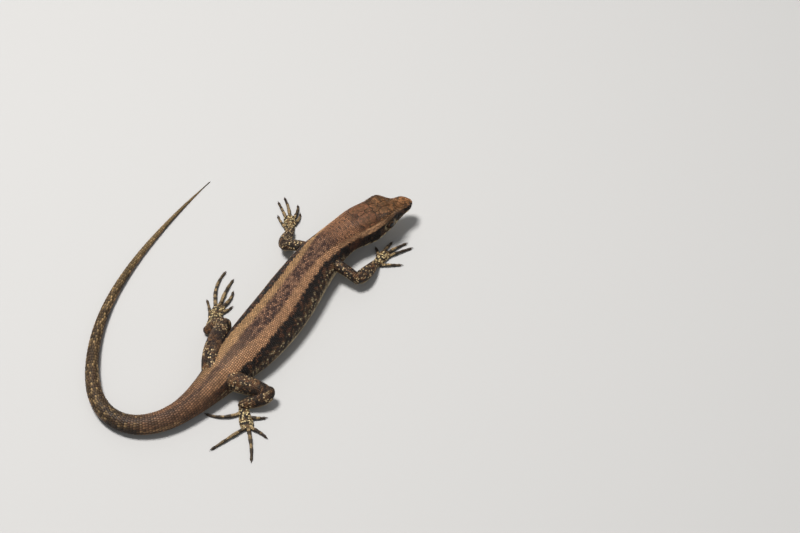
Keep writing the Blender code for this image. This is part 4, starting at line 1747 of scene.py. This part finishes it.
@dataclass
class LimbCoat:
    """Beads on the limbs, and smaller ones on palms and digits."""

    body: Body
    limbs: Limbs
    markings: Markings
    overlap: Range = (1.14, 1.04)         # length and width of a scale as shares of its room
    bead: Template = field(default_factory=Scales.bead)

    def build(self) -> None:
        """Cover each limb with its scales."""
        limb = Finish("limb_scales").build()
        foot = Finish("foot_scales", roughness=0.5).build()
        for group in ("left", "right"):
            coat = Coat(f"limb_scales_{group}", "limb_scales")
            small = Coat(f"foot_scales_{group}", "foot_scales")
            members = [item for item in self.limbs.tubes.items() if f"_{group}" in item[0]]
            for number, (name, (kind, tube)) in enumerate(members):
                self.cover(coat if kind in LONG_PARTS else small, name, kind, tube, number, len(members))
            coat.build(limb)
            small.build(foot)

    def cover(self, coat: Coat, name: str, kind: Part, tube: Tube, number: int, total: int) -> None:
        """Lay rows of scales from one end of a tube to the other.

        Args:
            coat: The coat that takes them.
            name: The limb's name.
            kind: What part of a limb it is.
            tube: The limb's surface.
            number: Place of its patch on the map.
            total: How many patches the map has.
        """
        pitch, width, foot = LIMB_SCALES[kind]
        rows = np.arange(tube.along[0] + 0.1, tube.along[-1], pitch)

        def in_row(u: float) -> int:
            """How many scales the row at u has."""
            return max(5, int(round(float(tube.girth(np.array([u]))[0]) / width)))

        u, v, share = staggered(rows, in_row)
        keep = self.uncovered(name, kind, tube.at(u, v, 0.0))
        u, v, share = u[keep], v[keep], share[keep]
        colours = self.markings.on_limb(kind, tube, u, v, list(self.limbs.tubes).index(name))
        low, high = tube.along[0], tube.along[-1]
        patch = np.stack([(number + 0.05 + 0.9 * (u - low) / (high - low)) / total,
                          0.5 + MAP_ROUND * ((v + 0.5) % 1.0 - 0.5)], axis=1)
        size = (pitch * self.overlap[0], share * tube.girth(u) * self.overlap[1])
        coat.stamp(self.bead, tube, u, v, size, colours, (foot, 0.0), patch)

    def uncovered(self, name: str, kind: Part, points: Array) -> Array:
        """Whether each point of a limb is outside the body, the other limbs and a palm's own digits.

        Args:
            name: The limb's name.
            kind: What part of a limb it is.
            points: Points in millimetres.

        Returns:
            Yes or no for each.
        """
        keep = ~self.body.holds(points) if kind in LONG_PARTS else np.ones(len(points), dtype=bool)
        for other, (other_kind, tube) in self.limbs.tubes.items():
            own_digit = kind is Part.PALM and other.startswith(name)
            if other != name and (other_kind is not Part.DIGIT or own_digit):
                keep &= ~tube.holds(points)
        return keep


# ---------------- head
class Measure(Enum):
    """What the second number of a shield's corner says."""

    ACROSS = 0
    HEIGHT = 1
    TURN = 2


MOUTH = ((0, 4.0), (1, 3.9), (3, 3.7), (6.6, 3.5), (9, 3.4), (10.3, 3.55))
MIDDLE_SHIELDS = (        # left halves, from the front round to the rear: station, across
    ((1.5, 0), (1.68, 0.55), (2.15, 1.1), (2.8, 1.0), (3.2, 0)),
    ((4.15, 0), (4.37, 0.3), (4.62, 0.92), (5.6, 0.78), (6.9, 0.62), (7.72, 0.6), (8.18, 0)),
    ((9.37, 0), (9.75, 0.46), (10.6, 0.36), (11.2, 0.2), (11.25, 0)),
    ((11.25, 0), (11.3, 0.24), (12.35, 0.55), (12.9, 0.3), (12.95, 0)),
)
PAIRED_SHIELDS = (
    (Measure.ACROSS, ((0.54, 0.0), (0.56, 0.62), (1.2, 1.25), (2.1, 1.12), (1.64, 0.55), (1.47, 0.0))),
    (Measure.ACROSS, ((3.22, 0.0), (2.84, 1.0), (3.2, 1.6), (4.0, 1.72), (4.6, 0.97), (4.35, 0.32),
                      (4.13, 0.0))),
    (Measure.ACROSS, ((8.22, 0.0), (7.78, 0.64), (8.6, 1.1), (9.52, 1.28), (9.72, 0.5), (9.35, 0.0))),
    (Measure.ACROSS, ((9.8, 0.5), (9.55, 1.35), (9.75, 2.5), (10.6, 3.05), (12.9, 3.15), (13.7, 2.5),
                      (13.95, 1.2),
                      (12.97, 0.36), (12.4, 0.6), (11.28, 0.27), (10.6, 0.41))),
    (Measure.ACROSS, ((4.05, 1.72), (4.64, 1.0), (5.08, 0.92), (5.1, 1.65), (4.7, 2.1))),
    (Measure.ACROSS, ((5.12, 0.9), (5.15, 1.68), (4.8, 2.14), (5.5, 2.5), (6.62, 2.62), (6.78, 0.69))),
    (Measure.ACROSS, ((6.82, 0.68), (6.68, 2.62), (7.9, 2.5), (8.66, 2.1), (8.52, 1.12), (7.74, 0.68))),
    (Measure.ACROSS, ((8.58, 1.15), (8.74, 2.04), (9.5, 2.0), (9.5, 1.34))),
    (Measure.HEIGHT, ((0.62, 4.58), (0.75, 5.2), (1.12, 5.35), (1.1, 4.9), (1.18, 4.62))),
    (Measure.HEIGHT, ((1.58, 4.66), (1.62, 5.1), (1.5, 5.45), (1.95, 5.55), (2.0, 4.64))),
    (Measure.HEIGHT, ((2.05, 4.64), (2.0, 5.55), (2.3, 5.78), (2.95, 5.95), (2.98, 4.62))),
    (Measure.HEIGHT, ((3.03, 4.62), (3.0, 5.98), (4.1, 6.5), (4.75, 6.1), (4.72, 4.52))),
    (Measure.HEIGHT, ((4.77, 4.52), (4.8, 6.08), (5.3, 6.3), (5.7, 5.75), (5.6, 5.2), (5.75, 4.62))),
    (Measure.HEIGHT, ((5.2, 3.6), (5.2, 4.46), (5.8, 4.46), (6.4, 4.08), (7.2, 3.92), (8.0, 4.08),
                      (8.6, 4.46), (8.65, 3.46))),
    (Measure.HEIGHT, ((9.85, 4.95), (10.05, 5.3), (10.4, 5.4), (10.75, 5.2), (10.8, 4.85), (10.45, 4.62),
                      (10.0, 4.65))),
    (Measure.HEIGHT, ((11.95, 5.62), (12.1, 5.92), (12.55, 5.92), (12.7, 5.66), (12.35, 5.52))),
    (Measure.HEIGHT, ((9.6, 6.55), (9.6, 7.3), (10.6, 7.3), (10.7, 6.5))),
    (Measure.HEIGHT, ((10.75, 6.5), (10.65, 7.28), (11.8, 7.2), (11.85, 6.4))),
    (Measure.HEIGHT, ((11.9, 6.4), (11.85, 7.18), (13.0, 7.02), (13.2, 6.45))),
    (Measure.TURN, ((0.95, -88), (0.9, -56), (2.35, -58), (2.4, -88))),
    (Measure.TURN, ((2.45, -88), (2.4, -54), (4.4, -56), (4.5, -88))),
    (Measure.TURN, ((4.55, -88), (4.45, -52), (6.5, -52), (6.7, -80), (5.8, -88))),
    (Measure.TURN, ((6.75, -80), (6.55, -50), (8.6, -48), (8.9, -66), (8.0, -80))),
)
BROW = (4.65, 5.5, 6.35, 7.15, 7.95, 8.7, 9.4)
BROW_TURNS = (47.5, 42.0)   # angles of the upper and lower edge of the row over the eye
UPPER_LIP = (0.55, 1.5, 2.6, 3.8, 5.15)
UPPER_LIP_REAR = (8.7, 9.6, 10.4)
LOWER_LIP = (0.5, 1.6, 2.9, 4.3, 5.9, 7.7, 9.5)
LIP_HEIGHT = 0.66
LIP_GAP = 0.03            # between the lips
LIP_EDGE = 0.02           # between neighbouring shields
NOSTRIL = (1.34, 5.0, 0.2)
DISC_RINGS = (1.0, 0.975, 0.93, 0.86, 0.76, 0.64, 0.52, 0.40, 0.28, 0.14)
SHIELD_LIFTS = (-0.22, -0.075, -0.03, -0.008, 0.0, 0.004, 0.006, 0.008, 0.01, 0.01, 0.01)
SHIELD_GAP = 0.022
EAR_AROUND, EAR_RINGS, EAR_RING = 36, 6, 0.13
EAR_PROFILE = (           # share of the way out from the ear's middle, and lift there
    (0, 0.35, 0.55, 0.7, 0.8, 0.9, 1.0), (-0.42, -0.46, -0.42, -0.26, -0.10, -0.05, -0.16),
)
# relief of a shield's rings counted from the rim; the finish turns low relief into painted shade at the rim
SHIELD_RELIEF = (0.0, 0.0, 0.6, 1.0)
DISC_AROUND = 32
HEAD_MAP = (-0.6, 14.6)
HEAD_ROWS = (0.3, 14.1, 0.27)       # first and last row of small scales, and their pitch
HEAD_BEAD = (0.30, 0.29)            # length and width of a small scale
TIP_UPPER = (0.29, 0.46)            # how far the front shield goes round, in turns, and back
TIP_LOWER = (0.17, 0.42)
TIP_MARGIN = 0.06


def inside(points: Array, outline: Array) -> Array:
    """Whether each point lies within a closed outline.

    Args:
        points: Places to ask for.
        outline: Corners in order.

    Returns:
        Yes or no for each.
    """
    hit = np.zeros(len(points), dtype=bool)
    x, y = points.T
    for (x0, y0), (x1, y1) in zip(outline, np.roll(outline, -1, axis=0)):
        crosses = (y0 > y) != (y1 > y)
        rise = np.where(abs(y1 - y0) < TINY, TINY, y1 - y0)
        hit ^= crosses & (x < (x1 - x0) * (y - y0) / rise + x0)
    return hit


def evenly(outline: Array, count: int) -> Array:
    """Points evenly round a closed outline with its corners slightly rounded.

    Args:
        outline: Corners in order.
        count: How many points.

    Returns:
        The points in order.
    """
    closed = np.concatenate([outline, outline[:1]])
    fine = np.concatenate([a + (b - a) * np.linspace(0, 1, 24, endpoint=False)[:, None]
                           for a, b in zip(closed, closed[1:])])
    for _ in range(3):
        fine = (np.roll(fine, 1, axis=0) + 2 * fine + np.roll(fine, -1, axis=0)) / 4
    loop = np.concatenate([fine, fine[:1]])
    arc = np.concatenate([[0], np.cumsum(np.linalg.norm(np.diff(loop, axis=0), axis=1))])
    at = np.linspace(0, arc[-1], count, endpoint=False)
    return np.stack([np.interp(at, arc, loop[:, k]) for k in range(2)], axis=1)


@dataclass
class Head:
    """Shields, lips, beads and ear of the head."""

    body: Body
    markings: Markings
    outlines: list[Array] = field(default_factory=list)

    def __post_init__(self) -> None:
        """Turn the tables into outlines in (u, v)."""
        for half in MIDDLE_SHIELDS:
            left = self.convert(Measure.ACROSS, half)
            self.outlines.append(np.concatenate([left, left[-2:0:-1] * (1, -1)]))
        paired = list(PAIRED_SHIELDS)
        for bounds in (UPPER_LIP, UPPER_LIP_REAR):
            for a, b in zip(bounds, bounds[1:]):
                paired.append((Measure.HEIGHT, self.lip(a, b, (
                    (0, LIP_GAP), (0, LIP_HEIGHT + 0.12), (1, LIP_HEIGHT + 0.14), (1, LIP_GAP)))))
        upper, lower = BROW_TURNS
        for a, b in zip(BROW, BROW[1:]):
            paired.append((Measure.TURN, ((a + LIP_EDGE, upper), (a - 0.06, lower), (b - 0.10, lower),
                                          (b - LIP_EDGE, upper))))
        for a, b in zip(LOWER_LIP, LOWER_LIP[1:]):
            paired.append((Measure.HEIGHT, self.lip(a, b, (
                (0, -LIP_GAP), (1, -LIP_GAP), (1, -LIP_HEIGHT), (0, -LIP_HEIGHT)))))
        for measure, corner_list in paired:
            left = self.convert(measure, corner_list)
            self.outlines.append(left)
            self.outlines.append(left[::-1] * (1, -1))

    @staticmethod
    def lip(front: float, rear: float, shape: Sequence[tuple[int, float]]) -> list[tuple[float, float]]:
        """Corners of one lip shield.

        Args:
            front: Station of its front edge.
            rear: Station of its rear edge.
            shape: For each corner, 0 for the front edge or 1 for the rear, and its height over the mouth.

        Returns:
            Station and height of each corner.
        """
        ends = (front + LIP_EDGE, rear - LIP_EDGE)
        mouth = [float(smooth_table(MOUTH, np.array([s]))[0, 0]) for s in ends]
        return [(ends[end], mouth[end] + height) for end, height in shape]

    def convert(self, measure: Measure, corner_list: Sequence[Sequence[float]]) -> Array:
        """Corners as (u, v)."""
        return np.array([(s, self.body.find(s, value, measure.value)) for s, value in corner_list])

    def build(self) -> None:
        """Cover the head and model its openings."""
        # painted shade darkens each shield towards its rim
        finish = Finish("head_shields", roughness=0.58, specular=0.16, tone=0.07, groove_shade=0.45, grain=4600.0,
                        grain_strength=0.42, bump=0.00006).build()
        coat = Coat("head_shields", "head_shields")
        disc = Scales.disc(DISC_AROUND, DISC_RINGS)
        for outline in self.outlines:
            self.shield(coat, disc, outline)
        self.tip(coat, disc)
        coat.build(finish)
        self.beads(Finish("head_scales").build())
        for side in (1, -1):
            self.ear(side)

    def shield(self, coat: Coat, disc: Template, outline: Array) -> None:
        """One shield, from a disc stretched to its outline.

        Args:
            coat: The coat that takes them.
            disc: The shields' shape.
            outline: The u and v of each corner.
        """
        girth = float(self.body.girth(np.array([outline[:, 0].mean()]))[0])
        flat = evenly(outline * (1, girth), DISC_AROUND)
        centre = flat.mean(axis=0)
        size = np.linalg.norm(flat - centre, axis=1).mean()
        flat = centre + (flat - centre) * (1 - SHIELD_GAP / size)
        radius, index = self.spokes(disc)
        place = centre + radius[:, None] * (flat[index] - centre)
        self.press(coat, disc, place[:, 0], place[:, 1] / girth)

    @staticmethod
    def spokes(disc: Template) -> tuple[Array, Array]:
        """How far out each point of the disc is, and on which of its spokes.

        Args:
            disc: The shields' shape.

        Returns:
            Both, for each point.
        """
        radius = np.linalg.norm(disc.points[:, :2], axis=1)
        turn = np.arctan2(disc.points[:, 1], disc.points[:, 0]) / (2 * math.pi)
        return radius, np.rint(turn * DISC_AROUND).astype(int) % DISC_AROUND

    def press(self, coat: Coat, disc: Template, u: Array, v: Array) -> None:
        """Lay the disc on the head, with each of its points at a (u, v).

        Args:
            coat: The coat that takes them.
            disc: The shields' shape.
            u: Places along the surface, in millimetres.
            v: Places round it, in turns.
        """
        level = np.rint(disc.points[:, 2]).astype(int)
        points = self.body.at(u, v, np.array(SHIELD_LIFTS)[level]) * MM
        colours = self.markings.on_body(self.body, u, v)
        relief = np.interp(level, range(len(SHIELD_RELIEF)), SHIELD_RELIEF)
        coat.add(points[None], disc.faces, colours[None], relief[None], on_map(u, v, *HEAD_MAP)[None])

    def tip(self, coat: Coat, disc: Template) -> None:
        """The shields at the front of both jaws.

        Args:
            coat: The coat that takes them.
            disc: The shields' shape.
        """
        turn = -0.5 + np.arange(DISC_AROUND) / DISC_AROUND
        radius, index = self.spokes(disc)
        for upper, (limit, rear) in ((True, TIP_UPPER), (False, TIP_LOWER)):
            away = np.abs(turn) if upper else 0.5 - np.abs(turn)
            v_rim = np.clip(away, 0, limit)
            v_rim = v_rim if upper else 0.5 - v_rim
            v_rim = v_rim * np.where(turn < 0, -1, 1)
            u_rim = np.where(away < limit, rear, -SNOUT_CAP + 0.02)
            u = -SNOUT_CAP + radius * (u_rim[index] + SNOUT_CAP)
            self.press(coat, disc, u, v_rim[index])

    def open_skin(self, u: Array, v: Array) -> Array:
        """Whether no shield, lid, nostril or ear covers (u, v).

        Args:
            u: Places along the surface, in millimetres.
            v: Places round it, in turns.

        Returns:
            Yes or no for each place.
        """
        points = self.body.at(u, v, 0.0)
        upper, lower = ((u < rear + TIP_MARGIN) for _, rear in (TIP_UPPER, TIP_LOWER))
        free = ~(upper & (np.abs(v) < 0.3)) & ~(lower & (np.abs(v) > 0.32))
        for outline in self.outlines:
            free &= ~inside(np.stack([u, v], axis=1), outline)
        lateral = np.abs(v) < 0.4
        for station, height, (long, high) in (
            (EYE_STATION, EYE_HEIGHT, (LID_REACH[0] - 0.12, LID_REACH[1] - 0.1)),
            (EAR_STATION, EAR_HEIGHT, (EAR_RADII[0] + 0.08, EAR_RADII[1] + 0.08)),
            (NOSTRIL[0], NOSTRIL[1], (NOSTRIL[2] + 0.1, NOSTRIL[2] + 0.1)),
        ):
            free &= ~(lateral & (np.hypot((u - station) / long, (points[:, 2] - height) / high) < 1))
        return free

    def beads(self, finish: bpy.types.Material) -> None:
        """Small scales wherever there is no shield.

        Args:
            finish: The material.
        """
        length, across = HEAD_BEAD

        def in_row(u: float) -> int:
            """How many scales the row at u has."""
            return int(round(float(self.body.girth(np.array([u]))[0]) / across))

        u, v, width = staggered(np.arange(*HEAD_ROWS), in_row)
        keep = self.open_skin(u, v)
        u, v, width = u[keep], v[keep], width[keep]
        coat = Coat("head_scales", "head_shields")
        coat.stamp(Scales.bead(), self.body, u, v, (length, width * self.body.girth(u)),
                   self.markings.on_body(self.body, u, v), BEAD_LIFTS, on_map(u, v, *HEAD_MAP))
        coat.build(finish)

    def ear(self, side: int) -> None:
        """A shallow opening with the dark drum at its foot.

        Args:
            side: 1 for the left and -1 for the right.
        """
        bpy.ops.mesh.primitive_circle_add(vertices=EAR_AROUND, radius=1.0, fill_type="NGON")
        piece = bpy.context.object
        piece.name = "ear_left" if side > 0 else "ear_right"
        with editing(piece):
            for _ in range(EAR_RINGS):
                bpy.ops.mesh.inset(thickness=EAR_RING, use_even_offset=True)
            bpy.ops.mesh.poke()
        flat = corners(piece)[:, :2]
        reach = np.linalg.norm(flat, axis=1)
        u = EAR_STATION + flat[:, 0] * EAR_RADII[0] * RIM_REACH[0]
        z = EAR_HEIGHT + flat[:, 1] * EAR_RADII[1] * RIM_REACH[1]
        v = np.array([self.body.find(a, b, Measure.HEIGHT.value) for a, b in zip(u, z)]) * side
        set_corners(piece, self.body.at(u, v, np.interp(reach, *EAR_PROFILE)) * MM)
        paint(piece, mix(EAR_RED * 0.7, DARK_BROWN, smoothstep(0.6, 0.9, reach)))
        outward(piece)
        normal = self.body.read(self.body.normals, u[:1], v[:1])[0]
        if Vector(piece.data.polygons[0].normal).dot(normal) < 0:
            with editing(piece):
                bpy.ops.mesh.flip_normals()
        for label in ("relief", "tone"):
            store(piece, label, np.full(len(flat), 0.8))
        piece.data.materials.append(Finish(piece.name, roughness=0.4).build())
        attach(piece, ROOT)
        report(piece)


# ---------------- eyes
SEAM = (-0.4999999, 0.4999999)      # both edges of a grid that closes round


@dataclass
class Eye:
    """One eye with its lids."""

    body: Body
    side: int
    opening: Range = (1.06, 0.80)         # half length and half height
    cornea: float = 0.035
    turned: Range = (0.1, 0.12)           # how far the ball looks forward and up
    tilt: float = 0.10
    lid_rows: int = 13
    lid_around: int = 64
    # painted shade: the lid skin shows only between the lid scales and is darkened by this share
    lid_shade: float = 0.7
    lid_thickness: float = 0.10
    lid_tuck: float = 0.05    # how far the edge goes into the ball
    lid_end: float = 0.01     # how far the far edge lies inside the head's side
    lid_sink: float = 0.30    # the most that the edge may lie inside it
    lid_lifts: Range = (-0.05, 0.035)
    under_scales: float = 0.03
    scale_rows: Table = (                 # place across the lid, count round it and length
        (0.055, 34, 0.10), (0.15, 34, 0.13), (0.26, 38, 0.13), (0.37, 40, 0.13), (0.46, 42, 0.12),
    )

    @property
    def label(self) -> str:
        """Which side it is on."""
        return "left" if self.side > 0 else "right"

    def local(self, along: Array, outward_by: Array, up: Array) -> Array:
        """Points in millimetres about the eye's centre: tailward, away from the head and up."""
        across = self.side * (EYE_ACROSS + outward_by)
        return self.body.spine.place(EYE_STATION + along, across, EYE_HEIGHT + up)

    def ball(self) -> None:
        """The glossy ball with its pupil and iris."""
        bpy.ops.mesh.primitive_uv_sphere_add(segments=48, ring_count=32, radius=EYE_RADIUS)
        piece = bpy.context.object
        piece.name = f"eyeball_{self.label}"
        unit = corners(piece)
        axis = unit[:, 2] / EYE_RADIUS
        along, up, out = (unit * (1 + self.cornea * smoothstep(0.80, 1.0, axis))[:, None]).T
        forward, upward = self.turned
        set_corners(piece, self.local(along - forward * out, out, up + upward * out) * MM)
        store(piece, "from_axis", np.degrees(np.arccos(np.clip(axis, -1, 1))))
        outward(piece)
        piece.data.materials.append(EyeFinish(f"eye_{self.label}").build())
        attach(piece, ROOT)
        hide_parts(f"eye_{self.label}")
        report(piece)

    def skin_across(self, along: Array, up: Array) -> Array:
        """How far out the head's side is, from the eye's centre, at places beside it.

        Args:
            along: Distance behind the eye's centre.
            up: Height over it.

        Returns:
            Millimetres from it, outwards.
        """
        out = np.empty(len(along))
        for k, (a, b) in enumerate(zip(along, up)):
            v = self.body.find(EYE_STATION + a, EYE_HEIGHT + b, Measure.HEIGHT.value)
            row = self.body.half[int(np.argmin(np.abs(self.body.along - EYE_STATION - a)))]
            out[k] = np.interp(v, np.linspace(0, 0.5, len(row)), row[:, 0])
        return out - EYE_ACROSS

    def lid_surface(self) -> Surface:
        """The ring of skin from the opening's edge to the head's side.

        Returns:
            A surface whose u goes from the opening to the head, from 0 to 0.5.
        """
        share = np.linspace(0.0, 1.0, self.lid_rows)
        phi = np.linspace(-math.pi, math.pi, self.lid_around + 1)
        (long, high), (reach, rise) = self.opening, LID_REACH
        rows = []
        for t in share:
            spread = smoothstep(-0.1, 1.1, np.array([t]))[0]
            sine = np.sin(phi) * np.abs(np.sin(phi)) ** (0.25 * (1 - t))
            along = np.cos(phi) * (long + (reach - long) * t)
            up = -self.side * sine * (high + (rise - high) * t) + self.tilt * along * (1 - t)
            ball = EYE_RADIUS + self.lid_thickness * min(1.0, t * 7) - self.lid_tuck * (t == 0)
            over = np.sqrt(np.maximum(ball ** 2 - along ** 2 - up ** 2, 0.0))
            skin = self.skin_across(along, up) - self.lid_end
            out = over * (1 - spread) + skin * spread
            out = np.where(t < 0.4, np.maximum(out, over), out)
            out = np.maximum(out, skin - self.lid_sink * (1 - smoothstep(0.0, 0.45, np.array([t]))[0]))
            rows.append(self.local(along, out, up))
        return Surface(share * 0.5, np.array(rows))

    def lids(self, finish: bpy.types.Material) -> None:
        """Skin and small scales of the lids.

        Args:
            finish: The material.
        """
        surface = self.lid_surface()
        bpy.ops.mesh.primitive_grid_add(x_subdivisions=self.lid_rows - 1,
                                        y_subdivisions=self.lid_around, size=2.0)
        piece = bpy.context.object
        piece.name = f"lid_skin_{self.label}"
        flat = corners(piece)
        u, v = (flat[:, 0] + 1) / 2 * 0.5, flat[:, 1] / 2
        v = np.clip(v, *SEAM)
        set_corners(piece, surface.at(u, v, -self.under_scales) * MM)
        with editing(piece):
            bpy.ops.mesh.remove_doubles(threshold=0.000002)
            bpy.ops.mesh.normals_make_consistent(inside=False)
        bpy.ops.object.shade_smooth()
        count = len(piece.data.vertices)
        # painted shade between the lid scales
        paint(piece, np.tile(DARK_BROWN * self.lid_shade, (count, 1)))
        for label in ("relief", "tone"):
            store(piece, label, np.full(count, 0.8))
        piece.data.materials.append(finish)
        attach(piece, ROOT)
        report(piece)
        self.lid_scales(surface, finish)

    def lid_scales(self, surface: Surface, finish: bpy.types.Material) -> None:
        """Rings of small scales on the lids, paler in front of and behind the eye.

        Args:
            surface: The lids' surface.
            finish: The material.
        """
        coat = Coat(f"lid_scales_{self.label}", "head_shields")
        bead = Scales.bead()
        for number, (at, count, length) in enumerate(self.scale_rows):
            v = (np.arange(count) + 0.5 * (number % 2)) / count - 0.5
            u = np.full(count, at)
            pale = smoothstep(0.55, 0.95, np.abs(np.cos(2 * math.pi * v))) * (number < 3)
            colour = mix(np.tile(LID_BROWN, (count, 1)), LID_PALE, pale)
            colour = mix(colour, CREAM * 0.8, np.full(count, 0.35 if number == 0 else 0.0))
            patch = np.stack([0.1 + at * 1.6 * np.ones(count), v * MAP_ROUND + 0.5], axis=1)
            size = (length, surface.girth(u) / count * 1.02)
            coat.stamp(bead, surface, u, v, size, colour, self.lid_lifts, patch)
        coat.build(finish)


# ---------------- claws
@dataclass
class Claws:
    """A small curved claw at the end of every digit."""

    limbs: Limbs
    length: float = 0.72
    radius: float = 0.15
    tip_radius: float = 0.015
    taper: float = 0.8
    steps: int = 12
    narrowness: float = 0.8
    root: float = 0.22        # how far it starts inside the digit
    arch: float = 0.10
    rise: float = 0.04
    tip_height: float = 0.02
    rows: int = 14
    around: int = 10

    def path(self, tube: Tube) -> Array:
        """The line a claw follows, forward, up and down to the floor.

        Args:
            tube: The digit.

        Returns:
            Its points, from the root.
        """
        end, before = tube.centre[-1], tube.centre[-self.steps]
        ahead = (end - before) * (1, 1, 0)
        ahead /= np.linalg.norm(ahead)
        share = np.linspace(0.0, 1.0, self.steps)
        start = end - ahead * self.root
        path = start + ahead * share[:, None] * self.length
        drop = (start[2] - self.tip_height) * share ** 2
        path[:, 2] = start[2] + self.rise + self.arch * np.sin(math.pi * share) - drop
        return path

    def build(self) -> None:
        """Model the claws of each hand and foot and join them."""
        horn = Horn().build()
        share = np.linspace(0.0, 1.0, self.steps)
        thick = self.radius * (1 - share) ** self.taper + self.tip_radius
        for foot in PALMS:
            made = []
            for number in range(1, len(DIGITS[foot]) + 1):
                digit = self.limbs.tubes[f"{foot}_digit_{number}"][1]
                claw = Tube(self.path(digit), thick * self.narrowness, thick)
                steps = np.linspace(claw.along[0], claw.along[-1], self.rows)
                made.append(form(f"claw_{number}", claw, steps, self.around, 0.0)[0])
            bpy.ops.object.select_all(action="DESELECT")
            for piece in made:
                piece.select_set(True)
            bpy.context.view_layer.objects.active = made[0]
            bpy.ops.object.join()
            joined = bpy.context.object
            joined.name = f"claws_{foot}"
            joined.data.materials.clear()
            joined.data.materials.append(horn)
            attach(joined, ROOT)
            report(joined)


# ---------------- studio
@dataclass(frozen=True)
class Studio:
    """A pale floor, soft light from above and the camera."""

    target: tuple[float, float, float] = (0.0275, -0.0118, 0.0)
    azimuth: float = -57.0
    elevation: float = 48.0
    distance: float = 0.455
    lens: float = 100.0
    sensor: float = 36.0
    floor_size: float = 4.0
    floor_grey: float = 172
    sky: tuple[float, float, float, float] = (0.98, 0.99, 1.0, 1.0)
    sky_strength: float = 0.22
    lamps: tuple = (          # name, place, size, power and colour
        ("key", (-0.02, 0.20, 0.66), 0.18, 7.4, (1.0, 0.975, 0.94)),
        ("fill", (-0.35, -0.55, 0.50), 0.60, 0.9, (0.95, 0.97, 1.0)),
        ("rear", (0.45, 0.35, 0.45), 0.50, 0.5, (1.0, 0.98, 0.95)),
    )

    def build(self) -> None:
        """Set up everything that isn't the animal."""
        bpy.ops.mesh.primitive_plane_add(size=self.floor_size)
        floor = bpy.context.object
        floor.name = "floor"
        finish = Nodes("floor")
        finish.shader.inputs["Base Color"].default_value = (*srgb(*[self.floor_grey] * 3), 1.0)
        finish.set(Roughness=0.9)
        floor.data.materials.append(finish.material)
        world = bpy.data.worlds.new("studio")
        world.use_nodes = True
        sky = world.node_tree.nodes["Background"].inputs
        sky["Color"].default_value = self.sky
        sky["Strength"].default_value = self.sky_strength
        bpy.context.scene.world = world
        bpy.context.scene.view_settings.view_transform = "Standard"
        for row in self.lamps:
            self.lamp(*row)
        self.camera()

    @staticmethod
    def lamp(name: str, place: Sequence[float], size: float, power: float, colour: Sequence[float]) -> None:
        """A square soft light aimed at the animal.

        Args:
            name: Its name.
            place: Where it stands, aimed at the animal.
            size: Width, in metres.
            power: Watts.
            colour: Its colour.
        """
        bpy.ops.object.light_add(type="AREA", location=place)
        lamp = bpy.context.object
        lamp.name = name
        lamp.data.size = size
        lamp.data.energy = power
        lamp.data.color = colour
        lamp.rotation_euler = (-Vector(place)).to_track_quat("-Z", "Y").to_euler()

    def camera(self) -> None:
        """The camera, level and with no shift."""
        a, e = math.radians(self.azimuth), math.radians(self.elevation)
        back = Vector((math.sin(a) * math.cos(e), -math.cos(a) * math.cos(e), math.sin(e)))
        data = bpy.data.cameras.new("camera")
        data.lens = self.lens
        data.sensor_width = self.sensor
        data.clip_start = 0.01
        camera = bpy.data.objects.new("camera", data)
        bpy.context.scene.collection.objects.link(camera)
        camera.location = Vector(self.target) + back * self.distance
        camera.rotation_euler = back.to_track_quat("Z", "Y").to_euler()
        bpy.context.scene.camera = camera


def main() -> None:
    """Build the whole animal and its studio."""
    logging.basicConfig(level=logging.INFO, format="%(message)s")
    body = Body(Spine())
    limbs = Limbs()
    markings = Markings()
    Studio().build()
    Skin(body, limbs, markings).build()
    Head(body, markings).build()
    BodyCoat(body, limbs, markings).build()
    LimbCoat(body, limbs, markings).build()
    lid = Finish("lids", roughness=0.45).build()
    for side in (1, -1):
        eye = Eye(body, side)
        eye.ball()
        eye.lids(lid)
    Claws(limbs).build()


if __name__ == "__main__":
    main()
